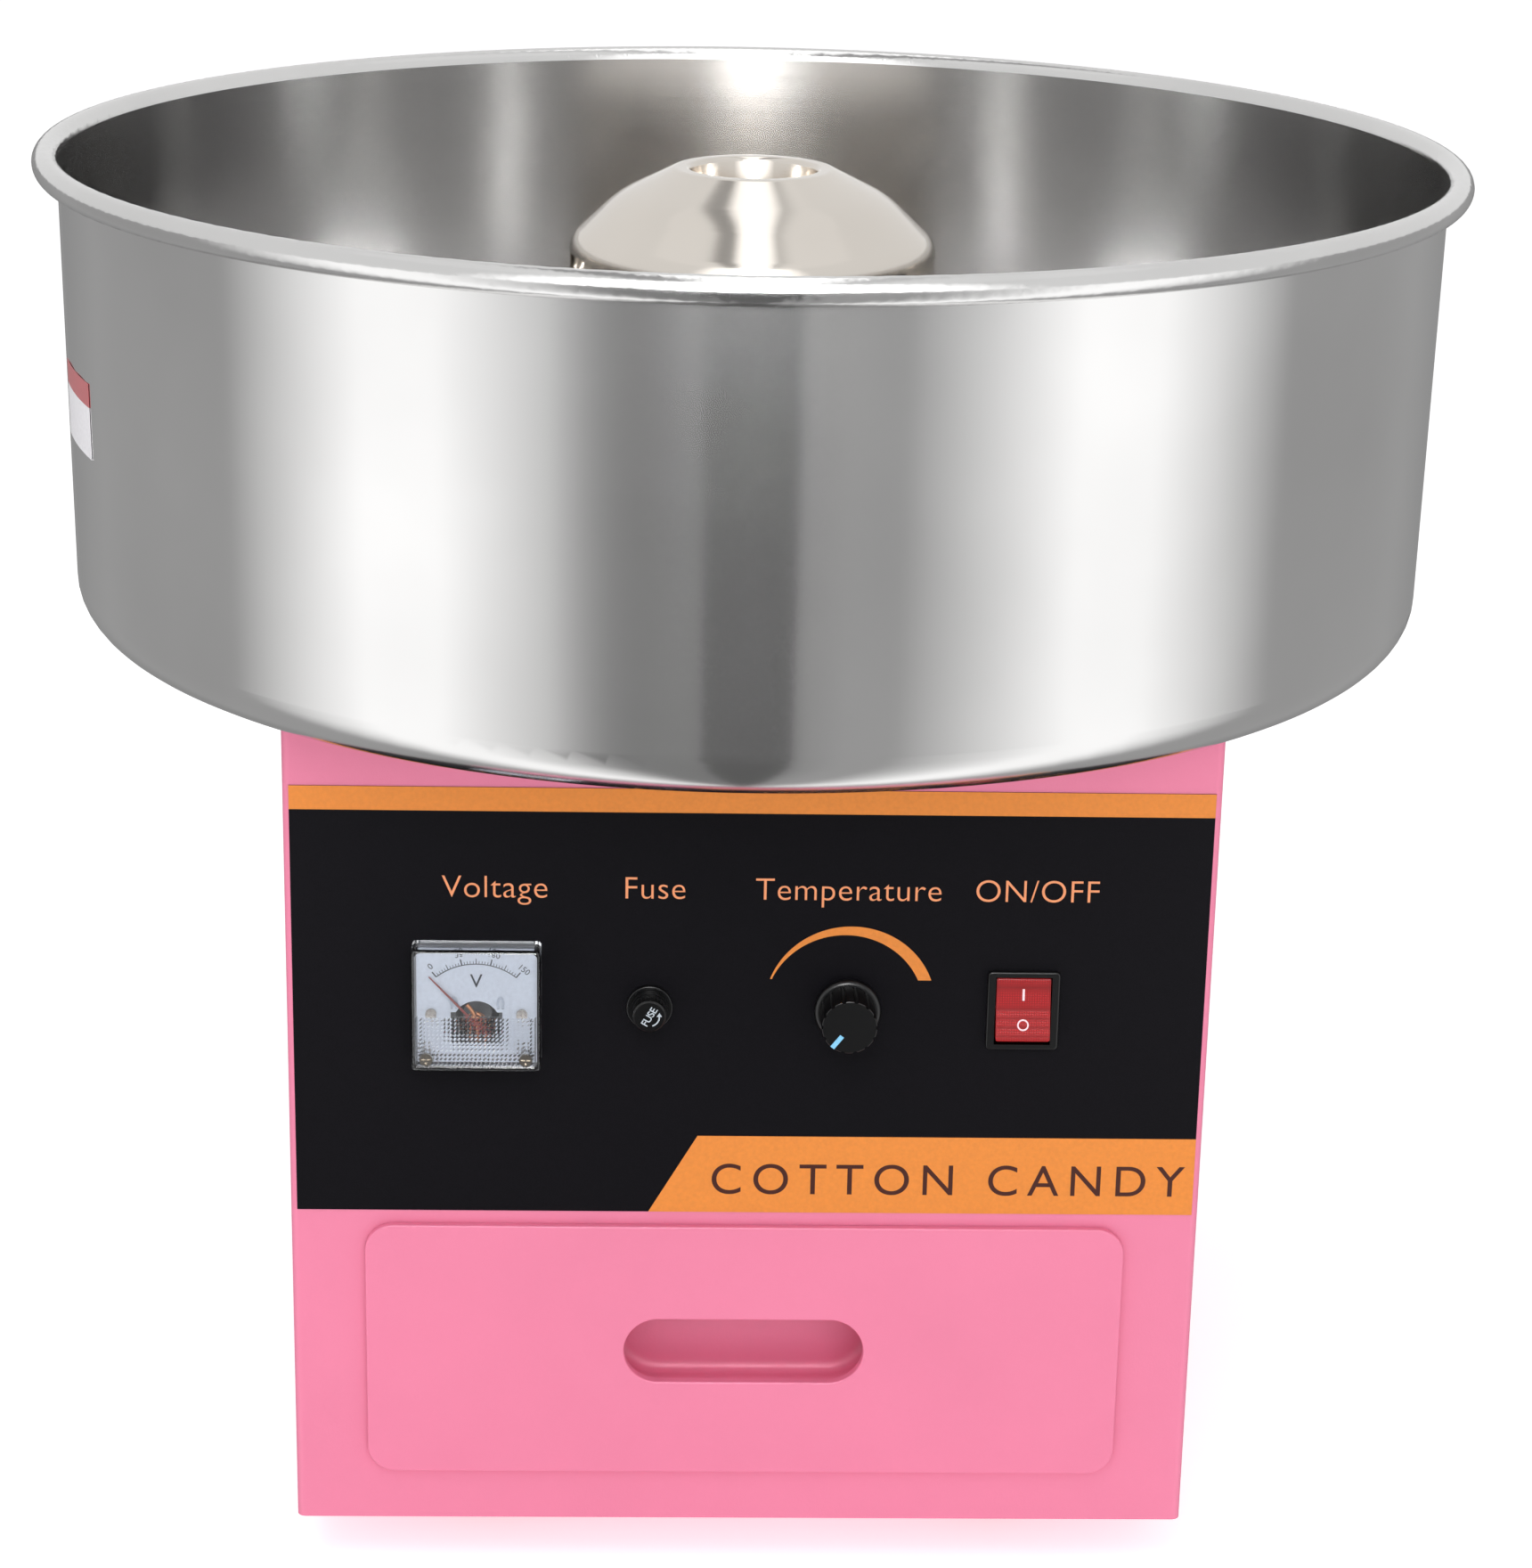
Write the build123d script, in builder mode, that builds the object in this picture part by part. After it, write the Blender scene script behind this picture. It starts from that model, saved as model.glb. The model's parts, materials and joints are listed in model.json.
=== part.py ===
"""Commercial cotton candy machine: pink sheet-steel cabinet, spun stainless bowl and a heated spinning head.

Frame: origin on the floor below the bowl axis, +Z up, front panel facing -Y, millimetres.
"""
import math
import os

from build123d import *

os.makedirs("parts", exist_ok=True)

# ---------------------------------------------------------------- driving dimensions
TOTAL_H = 500.0  # floor to the top of the bowl's rolled rim
BOWL_D = 520.0  # over the rolled rim
FOOT_H = 20.0
CAB_W, CAB_D = 324.0, 309.0
CAB_TOP = 326.0  # top face of the cabinet
SHEET = 1.2  # powder-coated cabinet sheet
BOWL_T = 0.8  # stainless bowl sheet
SEAT_H = 2.5  # rubber ring between cabinet and bowl
HEAD_R = 67.4  # outer radius of the spinning head
CONTROL_Z = 222.0  # height of the row of controls
METER_X, FUSE_X, KNOB_X, SWITCH_X = -95.4, -35.2, 34.1, 95.7
DECAL_T = 0.3  # printed overlay film
RUN = 0.05  # radial running clearance on the shaft
GAP = 0.3  # clearance between neighbouring moving parts

FRONT = CAB_D / 2  # the front face lies at y = -FRONT
FACE = FRONT + DECAL_T  # the overlay film's face lies at y = -FACE
SIDE = CAB_W / 2
INNER_X = SIDE - SHEET
FRONT_PLANE = Plane.XZ.offset(FRONT)  # normal -Y, x to the right, y up


def save(builder, label):
    """Label one finished sub-part and write its STEP file."""
    builder.part.label = label
    export_step(builder.part, f"parts/{label}.step")


def face_plane(distance, x, z):
    """Plane facing -Y at y = -distance, with its origin at x, z."""
    return Plane(origin=(x, -distance, z), x_dir=(1, 0, 0), z_dir=(0, -1, 0))


def rear_plane(distance, x, z):
    """Plane facing +Y at y = distance, with its origin at x, z."""
    return Plane(origin=(x, distance, z), x_dir=(-1, 0, 0), z_dir=(0, 1, 0))


def ring_part(inner, outer, low, high):
    """A plain ring about Z, outside any builder context."""
    with BuildPart() as ring:
        with BuildSketch(Plane.XY.offset(low)):
            Circle(outer)
            if inner > 0:
                Circle(inner, mode=Mode.SUBTRACT)
        extrude(amount=high - low)
    return ring


# ---------------------------------------------------------------- screws and bolts
SCREW_R, SCREW_HOLE_R = 2.0, 2.2
BOLT_R, BOLT_HOLE_R = 2.5, 2.7
SCREW_HEAD_R, SCREW_HEAD_H, SCREW_L = 3.8, 1.8, 8.0
CROSS_L, CROSS_W = 3.6, 0.8  # recess in a screw's head


def pan_screw(plane):
    """A pan-head screw seated on the plane's origin, its shank in the sheet, a cross slot in its head."""
    with BuildPart(mode=Mode.PRIVATE) as screw:
        with BuildSketch(plane):
            Circle(SCREW_HEAD_R)
        extrude(amount=SCREW_HEAD_H)
        fillet(screw.faces().sort_by(Axis(plane.origin, plane.z_dir))[-1].edges(), SCREW_HEAD_H / 2)
        with BuildSketch(plane):
            Circle(SCREW_R)
        extrude(amount=-SCREW_L)
        with BuildSketch(plane.offset(SCREW_HEAD_H)):
            Rectangle(CROSS_L, CROSS_W)
            Rectangle(CROSS_W, CROSS_L)
        extrude(amount=-SCREW_HEAD_H / 2, mode=Mode.SUBTRACT)
    return screw.part


# ---------------------------------------------------------------- cabinet sheets
DRAWER_Z, DRAWER_W, DRAWER_H = 89.2, 271.4, 98.0  # overlay front
BAY_W, BAY_H, BAY_R = 262.0, 88.0, 4.0  # aperture behind it
BEND_R = 3.0
RETURN_FLANGE = 12.0
REAR = FRONT - SHEET  # inner face of the rear panel
METER_HOLE_R, FUSE_HOLE_R, POT_HOLE_R = 19.4, 6.1, 3.7
SWITCH_HOLE_W, SWITCH_HOLE_H = 22.4, 26.4
SHELF_Z = 150.0
SIDE_SCREW_Y = (-110.0, 0.0, 110.0)
SHELF_SCREW_Y = (-90.0, 90.0)
TOP_SCREW_Z, BASE_SCREW_Z = CAB_TOP - 9.0, FOOT_H + 7.0
SHELF_SCREW_Z = SHELF_Z - 6.0
REAR_SCREW_X = SIDE - SHEET - 6.0
REAR_SCREW_Z = (40.0, 125.0, 215.0, 306.0)
LOUVRE_Z = [176.0 + 12.0 * i for i in range(10)]
LOUVRE_Y, LOUVRE_L, LOUVRE_H = 20.0, 90.0, 4.0


def control_apertures(mode):
    """The four holes for the controls, in the current sketch on the front."""
    for x, radius in ((METER_X, METER_HOLE_R), (FUSE_X, FUSE_HOLE_R), (KNOB_X, POT_HOLE_R)):
        with Locations((x, CONTROL_Z)):
            Circle(radius, mode=mode)
    with Locations((SWITCH_X, CONTROL_Z)):
        Rectangle(SWITCH_HOLE_W, SWITCH_HOLE_H, mode=mode)


def side_rods(ys, z):
    """Rods from side to side that cut a row of screw holes in both walls."""
    with BuildPart() as rods:
        with BuildSketch(Plane.YZ):
            with Locations(*((y, z) for y in ys)):
                Circle(SCREW_HOLE_R)
        extrude(amount=SIDE + 1, both=True)
    return rods.part


with BuildPart() as cabinet_wrap:
    with BuildSketch(Plane.XY.offset(FOOT_H)) as wrap_plan:
        with Locations((0, -SHEET / 2)):
            Rectangle(CAB_W, CAB_D - SHEET)
        fillet(wrap_plan.vertices().group_by(Axis.Y)[0], BEND_R)
        with BuildSketch(mode=Mode.PRIVATE) as hollow:
            with Locations((0, -SHEET / 2)):
                Rectangle(CAB_W - 2 * SHEET, CAB_D - 3 * SHEET)
            fillet(hollow.vertices().group_by(Axis.Y)[0], BEND_R - SHEET)
        add(hollow.sketch, mode=Mode.SUBTRACT)
        with Locations((0, REAR)):
            Rectangle(CAB_W - 2 * (SHEET + RETURN_FLANGE), 4 * SHEET, mode=Mode.SUBTRACT)
    extrude(amount=CAB_TOP - FOOT_H)
    # apertures in the front face
    with BuildSketch(FRONT_PLANE):
        with Locations((0, DRAWER_Z)):
            RectangleRounded(BAY_W, BAY_H, BAY_R)
        control_apertures(Mode.ADD)
    extrude(amount=-2 * SHEET, mode=Mode.SUBTRACT)
    # cooling slots and screw holes through both sides
    with BuildSketch(Plane.YZ):
        for z in LOUVRE_Z:
            with Locations((LOUVRE_Y, z)):
                SlotOverall(LOUVRE_L, LOUVRE_H)
    extrude(amount=SIDE + 1, both=True, mode=Mode.SUBTRACT)
    add(side_rods(SIDE_SCREW_Y, TOP_SCREW_Z), mode=Mode.SUBTRACT)
    add(side_rods(SIDE_SCREW_Y, BASE_SCREW_Z), mode=Mode.SUBTRACT)
    add(side_rods(SHELF_SCREW_Y, SHELF_SCREW_Z), mode=Mode.SUBTRACT)
    # screw holes in the rear return flanges
    with BuildSketch(Plane.XZ.offset(-REAR)):
        for z in REAR_SCREW_Z:
            with Locations((-REAR_SCREW_X, z), (REAR_SCREW_X, z)):
                Circle(SCREW_HOLE_R)
    extrude(amount=2 * SHEET, mode=Mode.SUBTRACT)
save(cabinet_wrap, "cabinet_wrap")

INLET_X, INLET_Z = -100.0, 190.0
INLET_HOLE_W, INLET_HOLE_H = 28.0, 21.0
INLET_SCREW_PITCH = 40.0
INLET_W, INLET_H, INLET_FLANGE, INLET_BODY_D = 50.0, 25.0, 3.0, 20.0
VENT_ROWS, VENT_COLS, VENT_Z = 6, 3, 262.0
VENT_PITCH_X, VENT_PITCH_Z, VENT_L, VENT_H = 62.0, 11.0, 48.0, 4.0
with BuildPart() as rear_panel:
    with BuildSketch(rear_plane(REAR, 0, 0)):
        with Locations((0, (FOOT_H + CAB_TOP) / 2)):
            Rectangle(CAB_W, CAB_TOP - FOOT_H)
        with Locations((0, VENT_Z)):
            with GridLocations(VENT_PITCH_X, VENT_PITCH_Z, VENT_COLS, VENT_ROWS):
                SlotOverall(VENT_L, VENT_H, mode=Mode.SUBTRACT)
        for z in REAR_SCREW_Z:
            with Locations((-REAR_SCREW_X, z), (REAR_SCREW_X, z)):
                Circle(SCREW_HOLE_R, mode=Mode.SUBTRACT)
        with Locations((-INLET_X, INLET_Z)):
            Rectangle(INLET_HOLE_W, INLET_HOLE_H, mode=Mode.SUBTRACT)
            with GridLocations(INLET_SCREW_PITCH, 0, 2, 1):
                Circle(SCREW_HOLE_R, mode=Mode.SUBTRACT)
    extrude(amount=SHEET)
save(rear_panel, "rear_panel")

LID_FLANGE = 15.0
SHAFT_HOLE_R = 14.0
MOUNT_PITCH = 90.0  # motor bolts on a square
with BuildPart() as top_plate:
    with BuildSketch(Plane.XY.offset(CAB_TOP - LID_FLANGE)) as lid_plan:
        Rectangle(2 * INNER_X, 2 * REAR)
        fillet(lid_plan.vertices().group_by(Axis.Y)[0], BEND_R - SHEET)
    extrude(amount=LID_FLANGE)
    with BuildSketch(Plane.XY.offset(CAB_TOP - LID_FLANGE)):
        Rectangle(2 * (INNER_X - SHEET), 2 * (REAR - SHEET))
    extrude(amount=LID_FLANGE - SHEET, mode=Mode.SUBTRACT)
    # the flanges clear the rear return flanges of the wrap
    with BuildSketch(Plane.XY.offset(CAB_TOP - LID_FLANGE)):
        with GridLocations(2 * INNER_X - RETURN_FLANGE, 2 * REAR, 2, 2):
            Rectangle(RETURN_FLANGE + 1, 2 * SHEET + 0.4)
    extrude(amount=LID_FLANGE, mode=Mode.SUBTRACT)
    with BuildSketch(Plane.XY.offset(CAB_TOP)):
        Circle(SHAFT_HOLE_R)
        with GridLocations(MOUNT_PITCH, MOUNT_PITCH, 2, 2):
            Circle(BOLT_HOLE_R)
    extrude(amount=-2 * SHEET, mode=Mode.SUBTRACT)
    add(side_rods(SIDE_SCREW_Y, TOP_SCREW_Z), mode=Mode.SUBTRACT)
save(top_plate, "top_plate")

FOOT_X, FOOT_Y = 94.0, 100.0
BASE_FLANGE = 12.0
AIR_PITCH_X, AIR_PITCH_Y, AIR_COLS, AIR_ROWS = 60.0, 14.0, 3, 7
AIR_L, AIR_H = 44.0, 4.0
with BuildPart() as base_plate:
    with BuildSketch(Plane.XY.offset(FOOT_H)) as tray_plan:
        Rectangle(2 * INNER_X, 2 * REAR)
        fillet(tray_plan.vertices().group_by(Axis.Y)[0], BEND_R - SHEET)
    extrude(amount=BASE_FLANGE)
    with BuildSketch(Plane.XY.offset(FOOT_H + SHEET)):
        Rectangle(2 * (INNER_X - SHEET), 2 * (REAR - SHEET))
    extrude(amount=BASE_FLANGE, mode=Mode.SUBTRACT)
    with BuildSketch(Plane.XY.offset(FOOT_H)):
        with GridLocations(2 * INNER_X - RETURN_FLANGE, 2 * REAR, 2, 2):
            Rectangle(RETURN_FLANGE + 1, 2 * SHEET + 0.4)
    extrude(amount=BASE_FLANGE, mode=Mode.SUBTRACT)
    with BuildSketch(Plane.XY.offset(FOOT_H)):
        with GridLocations(2 * FOOT_X, 2 * FOOT_Y, 2, 2):
            Circle(BOLT_HOLE_R)
        with GridLocations(AIR_PITCH_X, AIR_PITCH_Y, AIR_COLS, AIR_ROWS):
            SlotOverall(AIR_L, AIR_H)
    extrude(amount=SHEET, mode=Mode.SUBTRACT)
    add(side_rods(SIDE_SCREW_Y, BASE_SCREW_Z), mode=Mode.SUBTRACT)
save(base_plate, "base_plate")

SHELF_FLANGE = 12.0
SHELF_FRONT, SHELF_REAR = -150.0, 148.0
with BuildPart() as partition_shelf:
    with BuildSketch(Plane.XZ.offset(-SHELF_FRONT)):
        with Locations((0, SHELF_Z - SHELF_FLANGE / 2)):
            Rectangle(2 * INNER_X, SHELF_FLANGE)
        with Locations((0, SHELF_Z - SHEET - SHELF_FLANGE / 2)):
            Rectangle(2 * (INNER_X - SHEET), SHELF_FLANGE, mode=Mode.SUBTRACT)
    extrude(amount=-(SHELF_REAR - SHELF_FRONT))
    add(side_rods(SHELF_SCREW_Y, SHELF_SCREW_Z), mode=Mode.SUBTRACT)
save(partition_shelf, "partition_shelf")

with BuildPart() as case_screws:
    for z in REAR_SCREW_Z:
        for x in (-REAR_SCREW_X, REAR_SCREW_X):
            add(pan_screw(rear_plane(FRONT, x, z)))
    for x in (-INLET_SCREW_PITCH / 2, INLET_SCREW_PITCH / 2):
        add(pan_screw(rear_plane(FRONT + INLET_FLANGE, INLET_X + x, INLET_Z)))
    for side in (-1, 1):
        for ys, z in (
            (SIDE_SCREW_Y, TOP_SCREW_Z),
            (SIDE_SCREW_Y, BASE_SCREW_Z),
            (SHELF_SCREW_Y, SHELF_SCREW_Z),
        ):
            for y in ys:
                add(pan_screw(Plane(origin=(side * SIDE, y, z), x_dir=(0, 1, 0), z_dir=(side, 0, 0))))
save(case_screws, "case_screws")

# ---------------------------------------------------------------- feet
FOOT_TOP_R, FOOT_BOTTOM_R, FOOT_RECESS_R, FOOT_RECESS = 14.0, 12.5, 6.0, 8.0
with BuildPart() as rubber_feet:
    with BuildSketch(Plane.XY):
        with GridLocations(2 * FOOT_X, 2 * FOOT_Y, 2, 2):
            Circle(FOOT_BOTTOM_R)
    extrude(amount=FOOT_H, taper=-math.degrees(math.atan((FOOT_TOP_R - FOOT_BOTTOM_R) / FOOT_H)))
    with BuildSketch(Plane.XY):
        with GridLocations(2 * FOOT_X, 2 * FOOT_Y, 2, 2):
            Circle(FOOT_RECESS_R)
    extrude(amount=FOOT_RECESS, mode=Mode.SUBTRACT)
    with BuildSketch(Plane.XY):
        with GridLocations(2 * FOOT_X, 2 * FOOT_Y, 2, 2):
            Circle(BOLT_HOLE_R)
    extrude(amount=FOOT_H, mode=Mode.SUBTRACT)
save(rubber_feet, "rubber_feet")

# ---------------------------------------------------------------- printed overlay
DECAL_W, DECAL_LOW, DECAL_HIGH = 319.2, 143.2, 302.2
METER_SIZE = 45.0
with BuildPart() as control_decal:
    with BuildSketch(FRONT_PLANE):
        with Locations((0, (DECAL_LOW + DECAL_HIGH) / 2)):
            Rectangle(DECAL_W, DECAL_HIGH - DECAL_LOW)
        control_apertures(Mode.SUBTRACT)
    extrude(amount=DECAL_T)
save(control_decal, "control_decal")

# ---------------------------------------------------------------- panel voltmeter
METER_Z = CONTROL_Z + 1.4
COVER_D = 11.0  # how far the clear cover stands off the panel
COVER_WALL = 1.4
CASE_R, CASE_D = 19.0, 34.0
DIAL_FRONT = FACE + 5.2  # face of the dial plate
PIVOT_Z = METER_Z - 6.0  # pointer's pivot
POINTER_L = 24.0
POINTER_REST = 43.0  # degrees to the left of straight up
CASE_LIP = FACE + 3.2  # front of the square part of the case
CASE_SQUARE = METER_SIZE - 2 * COVER_WALL - 0.2
CASE_SCREW_X, CASE_SCREW_Z = 17.3, -17.4
DIAL_SCREW_X, DIAL_SCREW_Z = 15.8, -2.6
DIAL_T = 0.8

with BuildPart() as meter_case:
    with BuildSketch(face_plane(FACE, METER_X, METER_Z)):
        RectangleRounded(CASE_SQUARE, CASE_SQUARE, 1.2)
    extrude(amount=CASE_LIP - FACE)
    with BuildSketch(face_plane(FACE, METER_X, CONTROL_Z)):
        Circle(CASE_R)
    extrude(amount=-CASE_D)
    with BuildSketch(face_plane(CASE_LIP, METER_X, METER_Z)):
        with Locations((0, PIVOT_Z - METER_Z)):
            Circle(15.5)
    extrude(amount=-26, mode=Mode.SUBTRACT)
save(meter_case, "meter_case")

with BuildPart() as meter_cover:
    with BuildSketch(face_plane(FACE, METER_X, METER_Z)):
        RectangleRounded(METER_SIZE, METER_SIZE, 1.6)
    extrude(amount=COVER_D)
    fillet(meter_cover.faces().sort_by(Axis.Y)[0].edges(), 1.0)
    with BuildSketch(face_plane(FACE, METER_X, METER_Z)):
        RectangleRounded(METER_SIZE - 2 * COVER_WALL, METER_SIZE - 2 * COVER_WALL, 1.0)
    extrude(amount=COVER_D - COVER_WALL, mode=Mode.SUBTRACT)
    with BuildSketch(face_plane(FACE + COVER_D - COVER_WALL, METER_X, METER_Z)):
        with Locations((-CASE_SCREW_X, CASE_SCREW_Z), (CASE_SCREW_X, CASE_SCREW_Z)):
            Circle(1.3)
    extrude(amount=3, mode=Mode.SUBTRACT)
save(meter_cover, "meter_cover")

with BuildPart() as meter_dial:
    with BuildSketch(face_plane(DIAL_FRONT - DIAL_T, METER_X, METER_Z)):
        Rectangle(CASE_SQUARE - 0.6, CASE_SQUARE - 0.6)
        with Locations((0, -8.0)):
            Rectangle(18, 12, mode=Mode.SUBTRACT)
        with Locations((0, PIVOT_Z - METER_Z)):
            Circle(8.2, mode=Mode.SUBTRACT)
        with Locations((-CASE_SCREW_X, CASE_SCREW_Z), (CASE_SCREW_X, CASE_SCREW_Z)):
            Circle(2.0, mode=Mode.SUBTRACT)
        with Locations((-DIAL_SCREW_X, DIAL_SCREW_Z), (DIAL_SCREW_X, DIAL_SCREW_Z)):
            Circle(1.2, mode=Mode.SUBTRACT)
    extrude(amount=DIAL_T)
save(meter_dial, "meter_dial")

with BuildPart() as meter_screws:
    for x in (-CASE_SCREW_X, CASE_SCREW_X):
        with BuildSketch(face_plane(CASE_LIP, METER_X + x, METER_Z + CASE_SCREW_Z)):
            Circle(1.2)
        extrude(amount=FACE + COVER_D - CASE_LIP)
        with BuildSketch(face_plane(FACE + COVER_D, METER_X + x, METER_Z + CASE_SCREW_Z)):
            Circle(2.3)
        extrude(amount=1.2)
        with BuildSketch(face_plane(FACE + COVER_D + 1.2, METER_X + x, METER_Z + CASE_SCREW_Z)):
            Rectangle(3.2, 0.6)
            Rectangle(0.6, 3.2)
        extrude(amount=-0.7, mode=Mode.SUBTRACT)
    for x in (-DIAL_SCREW_X, DIAL_SCREW_X):
        with BuildSketch(face_plane(CASE_LIP, METER_X + x, METER_Z + DIAL_SCREW_Z)):
            Circle(1.1)
        extrude(amount=DIAL_FRONT - CASE_LIP)
        with BuildSketch(face_plane(DIAL_FRONT, METER_X + x, METER_Z + DIAL_SCREW_Z)):
            Circle(1.9)
        extrude(amount=0.9)
save(meter_screws, "meter_screws")

with BuildPart() as meter_movement:
    # magnet block with a round bore, and the front bridge that carries the jewel
    with BuildSketch(face_plane(FACE - 21, METER_X, PIVOT_Z)):
        Circle(14.5)
        Circle(7.6, mode=Mode.SUBTRACT)
        Rectangle(6, 40, mode=Mode.SUBTRACT)
    extrude(amount=19)
    with BuildSketch(face_plane(FACE - 21, METER_X, PIVOT_Z)):
        Circle(5.0)
    extrude(amount=17)
    with BuildSketch(face_plane(FACE - 22.8, METER_X, PIVOT_Z)):
        Circle(15)
    extrude(amount=1.8)
save(meter_movement, "meter_movement")

with BuildPart() as meter_pointer:
    # needle, counterweight and hub, turning about Y
    with BuildSketch(face_plane(DIAL_FRONT + 0.7, METER_X, PIVOT_Z)):
        Circle(2.0)
    extrude(amount=1.0)
    with BuildSketch(face_plane(DIAL_FRONT - 7.5, METER_X, PIVOT_Z)):
        Circle(0.8)
    extrude(amount=9.2)
    needle = Plane(
        origin=(METER_X, -(DIAL_FRONT + 1.0), PIVOT_Z),
        x_dir=(math.cos(math.radians(POINTER_REST)), 0, math.sin(math.radians(POINTER_REST))),
        z_dir=(0, -1, 0),
    )
    with BuildSketch(needle):
        with BuildLine():
            Polyline((-0.5, 0), (-0.18, POINTER_L), (0.18, POINTER_L), (0.5, 0), close=True)
        make_face()
        with Locations((0, -3.2)):
            Rectangle(1.6, 5.0)
    extrude(amount=0.4)
save(meter_pointer, "meter_pointer")

# ---------------------------------------------------------------- fuse holder
FLANGE_R, FLANGE_T = 8.1, 2.0
CAP_D = 8.0
CAP_STEPS = ((6.8, 1.6), (6.3, 3.2), (5.8, CAP_D))  # radius of each step and how far out it ends
CAP_FACE_R = 5.2
FUSE_BORE_R = 5.0
FUSE_R, FUSE_L, FUSE_END_L = 2.6, 20.0, 5.0
HOLDER_BODY_L = 34.0
with BuildPart() as fuse_holder:
    with BuildSketch(face_plane(FACE, FUSE_X, CONTROL_Z)):
        Circle(FLANGE_R)
    extrude(amount=FLANGE_T)
    fillet(fuse_holder.faces().sort_by(Axis.Y)[0].edges(), 0.5)
    with BuildSketch(face_plane(FACE, FUSE_X, CONTROL_Z)):
        Circle(FUSE_HOLE_R - 0.1)
    extrude(amount=-HOLDER_BODY_L)
    with BuildSketch(face_plane(FACE + FLANGE_T, FUSE_X, CONTROL_Z)):
        Circle(FUSE_BORE_R)
    extrude(amount=1.0 - HOLDER_BODY_L, mode=Mode.SUBTRACT)
    with BuildSketch(face_plane(FACE - HOLDER_BODY_L, FUSE_X, CONTROL_Z)):
        Rectangle(3, 0.8)
    extrude(amount=-8)
save(fuse_holder, "fuse_holder")

CAP_BACK = FACE + FLANGE_T + GAP
SPIGOT_L = 7.0
with BuildPart() as fuse_cap:
    for radius, reach in CAP_STEPS:
        with BuildSketch(face_plane(CAP_BACK, FUSE_X, CONTROL_Z)):
            Circle(radius)
        extrude(amount=reach)
    chamfer(fuse_cap.faces().sort_by(Axis.Y)[0].edges(), CAP_STEPS[-1][0] - CAP_FACE_R)
    # knurled grip
    with BuildSketch(face_plane(CAP_BACK + CAP_STEPS[1][1], FUSE_X, CONTROL_Z)):
        with PolarLocations(CAP_STEPS[-1][0], 24):
            Circle(0.3)
    extrude(amount=CAP_D - CAP_STEPS[1][1] - 1.0, mode=Mode.SUBTRACT)
    # spigot that grips the fuse
    with BuildSketch(face_plane(CAP_BACK, FUSE_X, CONTROL_Z)):
        Circle(FUSE_BORE_R - GAP)
    extrude(amount=-SPIGOT_L)
    with BuildSketch(face_plane(CAP_BACK - SPIGOT_L, FUSE_X, CONTROL_Z)):
        Circle(FUSE_R + GAP)
    extrude(amount=SPIGOT_L - 1.0, mode=Mode.SUBTRACT)
save(fuse_cap, "fuse_cap")

FUSE_FRONT = CAP_BACK - 1.0 - GAP
with BuildPart() as fuse:
    # glass tube between two metal ends
    with BuildSketch(face_plane(FUSE_FRONT - FUSE_END_L, FUSE_X, CONTROL_Z)):
        Circle(FUSE_R - 0.25)
        Circle(1.7, mode=Mode.SUBTRACT)
    extrude(amount=2 * FUSE_END_L - FUSE_L)
    for start in (FUSE_FRONT, FUSE_FRONT - FUSE_L + FUSE_END_L):
        with BuildSketch(face_plane(start, FUSE_X, CONTROL_Z)):
            Circle(FUSE_R)
        extrude(amount=-FUSE_END_L)
save(fuse, "fuse")

# ---------------------------------------------------------------- temperature control
POT_SHAFT_R = 3.0
KNOB_FLANGE_R, KNOB_FLANGE_T = 11.8, 2.4
KNOB_R, KNOB_D = 9.7, 16.0
KNOB_FLUTES, FLUTE_R = 14, 0.9
BUSH_OUT = 2.3  # how far the threaded bush stands out
KNOB_BACK = FACE + BUSH_OUT + GAP
POT_R, POT_BODY_D = 12.0, 18.0
SHAFT_FRONT = FACE + 14.0
MARKER_W, MARKER_L, MARKER_D = 1.8, 5.6, 0.5
MARKER_AZ = 142.0  # degrees anticlockwise of straight up at the low stop
with BuildPart() as potentiometer:
    with BuildSketch(face_plane(FRONT - SHEET, KNOB_X, CONTROL_Z)):
        Circle(POT_R)
    extrude(amount=-POT_BODY_D)
    with BuildSketch(face_plane(FRONT - SHEET, KNOB_X, CONTROL_Z)):
        Circle(POT_HOLE_R - 0.1)
    extrude(amount=SHEET + DECAL_T + BUSH_OUT)
    with BuildSketch(face_plane(FACE + 3, KNOB_X, CONTROL_Z)):
        Circle(POT_SHAFT_R + RUN)
    extrude(amount=-14, mode=Mode.SUBTRACT)
    # three solder tabs
    with BuildSketch(face_plane(FRONT - SHEET - POT_BODY_D / 3, KNOB_X, CONTROL_Z - POT_R - 1)):
        with GridLocations(5, 0, 3, 1):
            Rectangle(1.6, 8)
    extrude(amount=-0.8)
save(potentiometer, "potentiometer")

with BuildPart() as pot_shaft:
    with BuildSketch(face_plane(SHAFT_FRONT, KNOB_X, CONTROL_Z)):
        Circle(POT_SHAFT_R)
    extrude(amount=-24.5)
save(pot_shaft, "pot_shaft")

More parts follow.
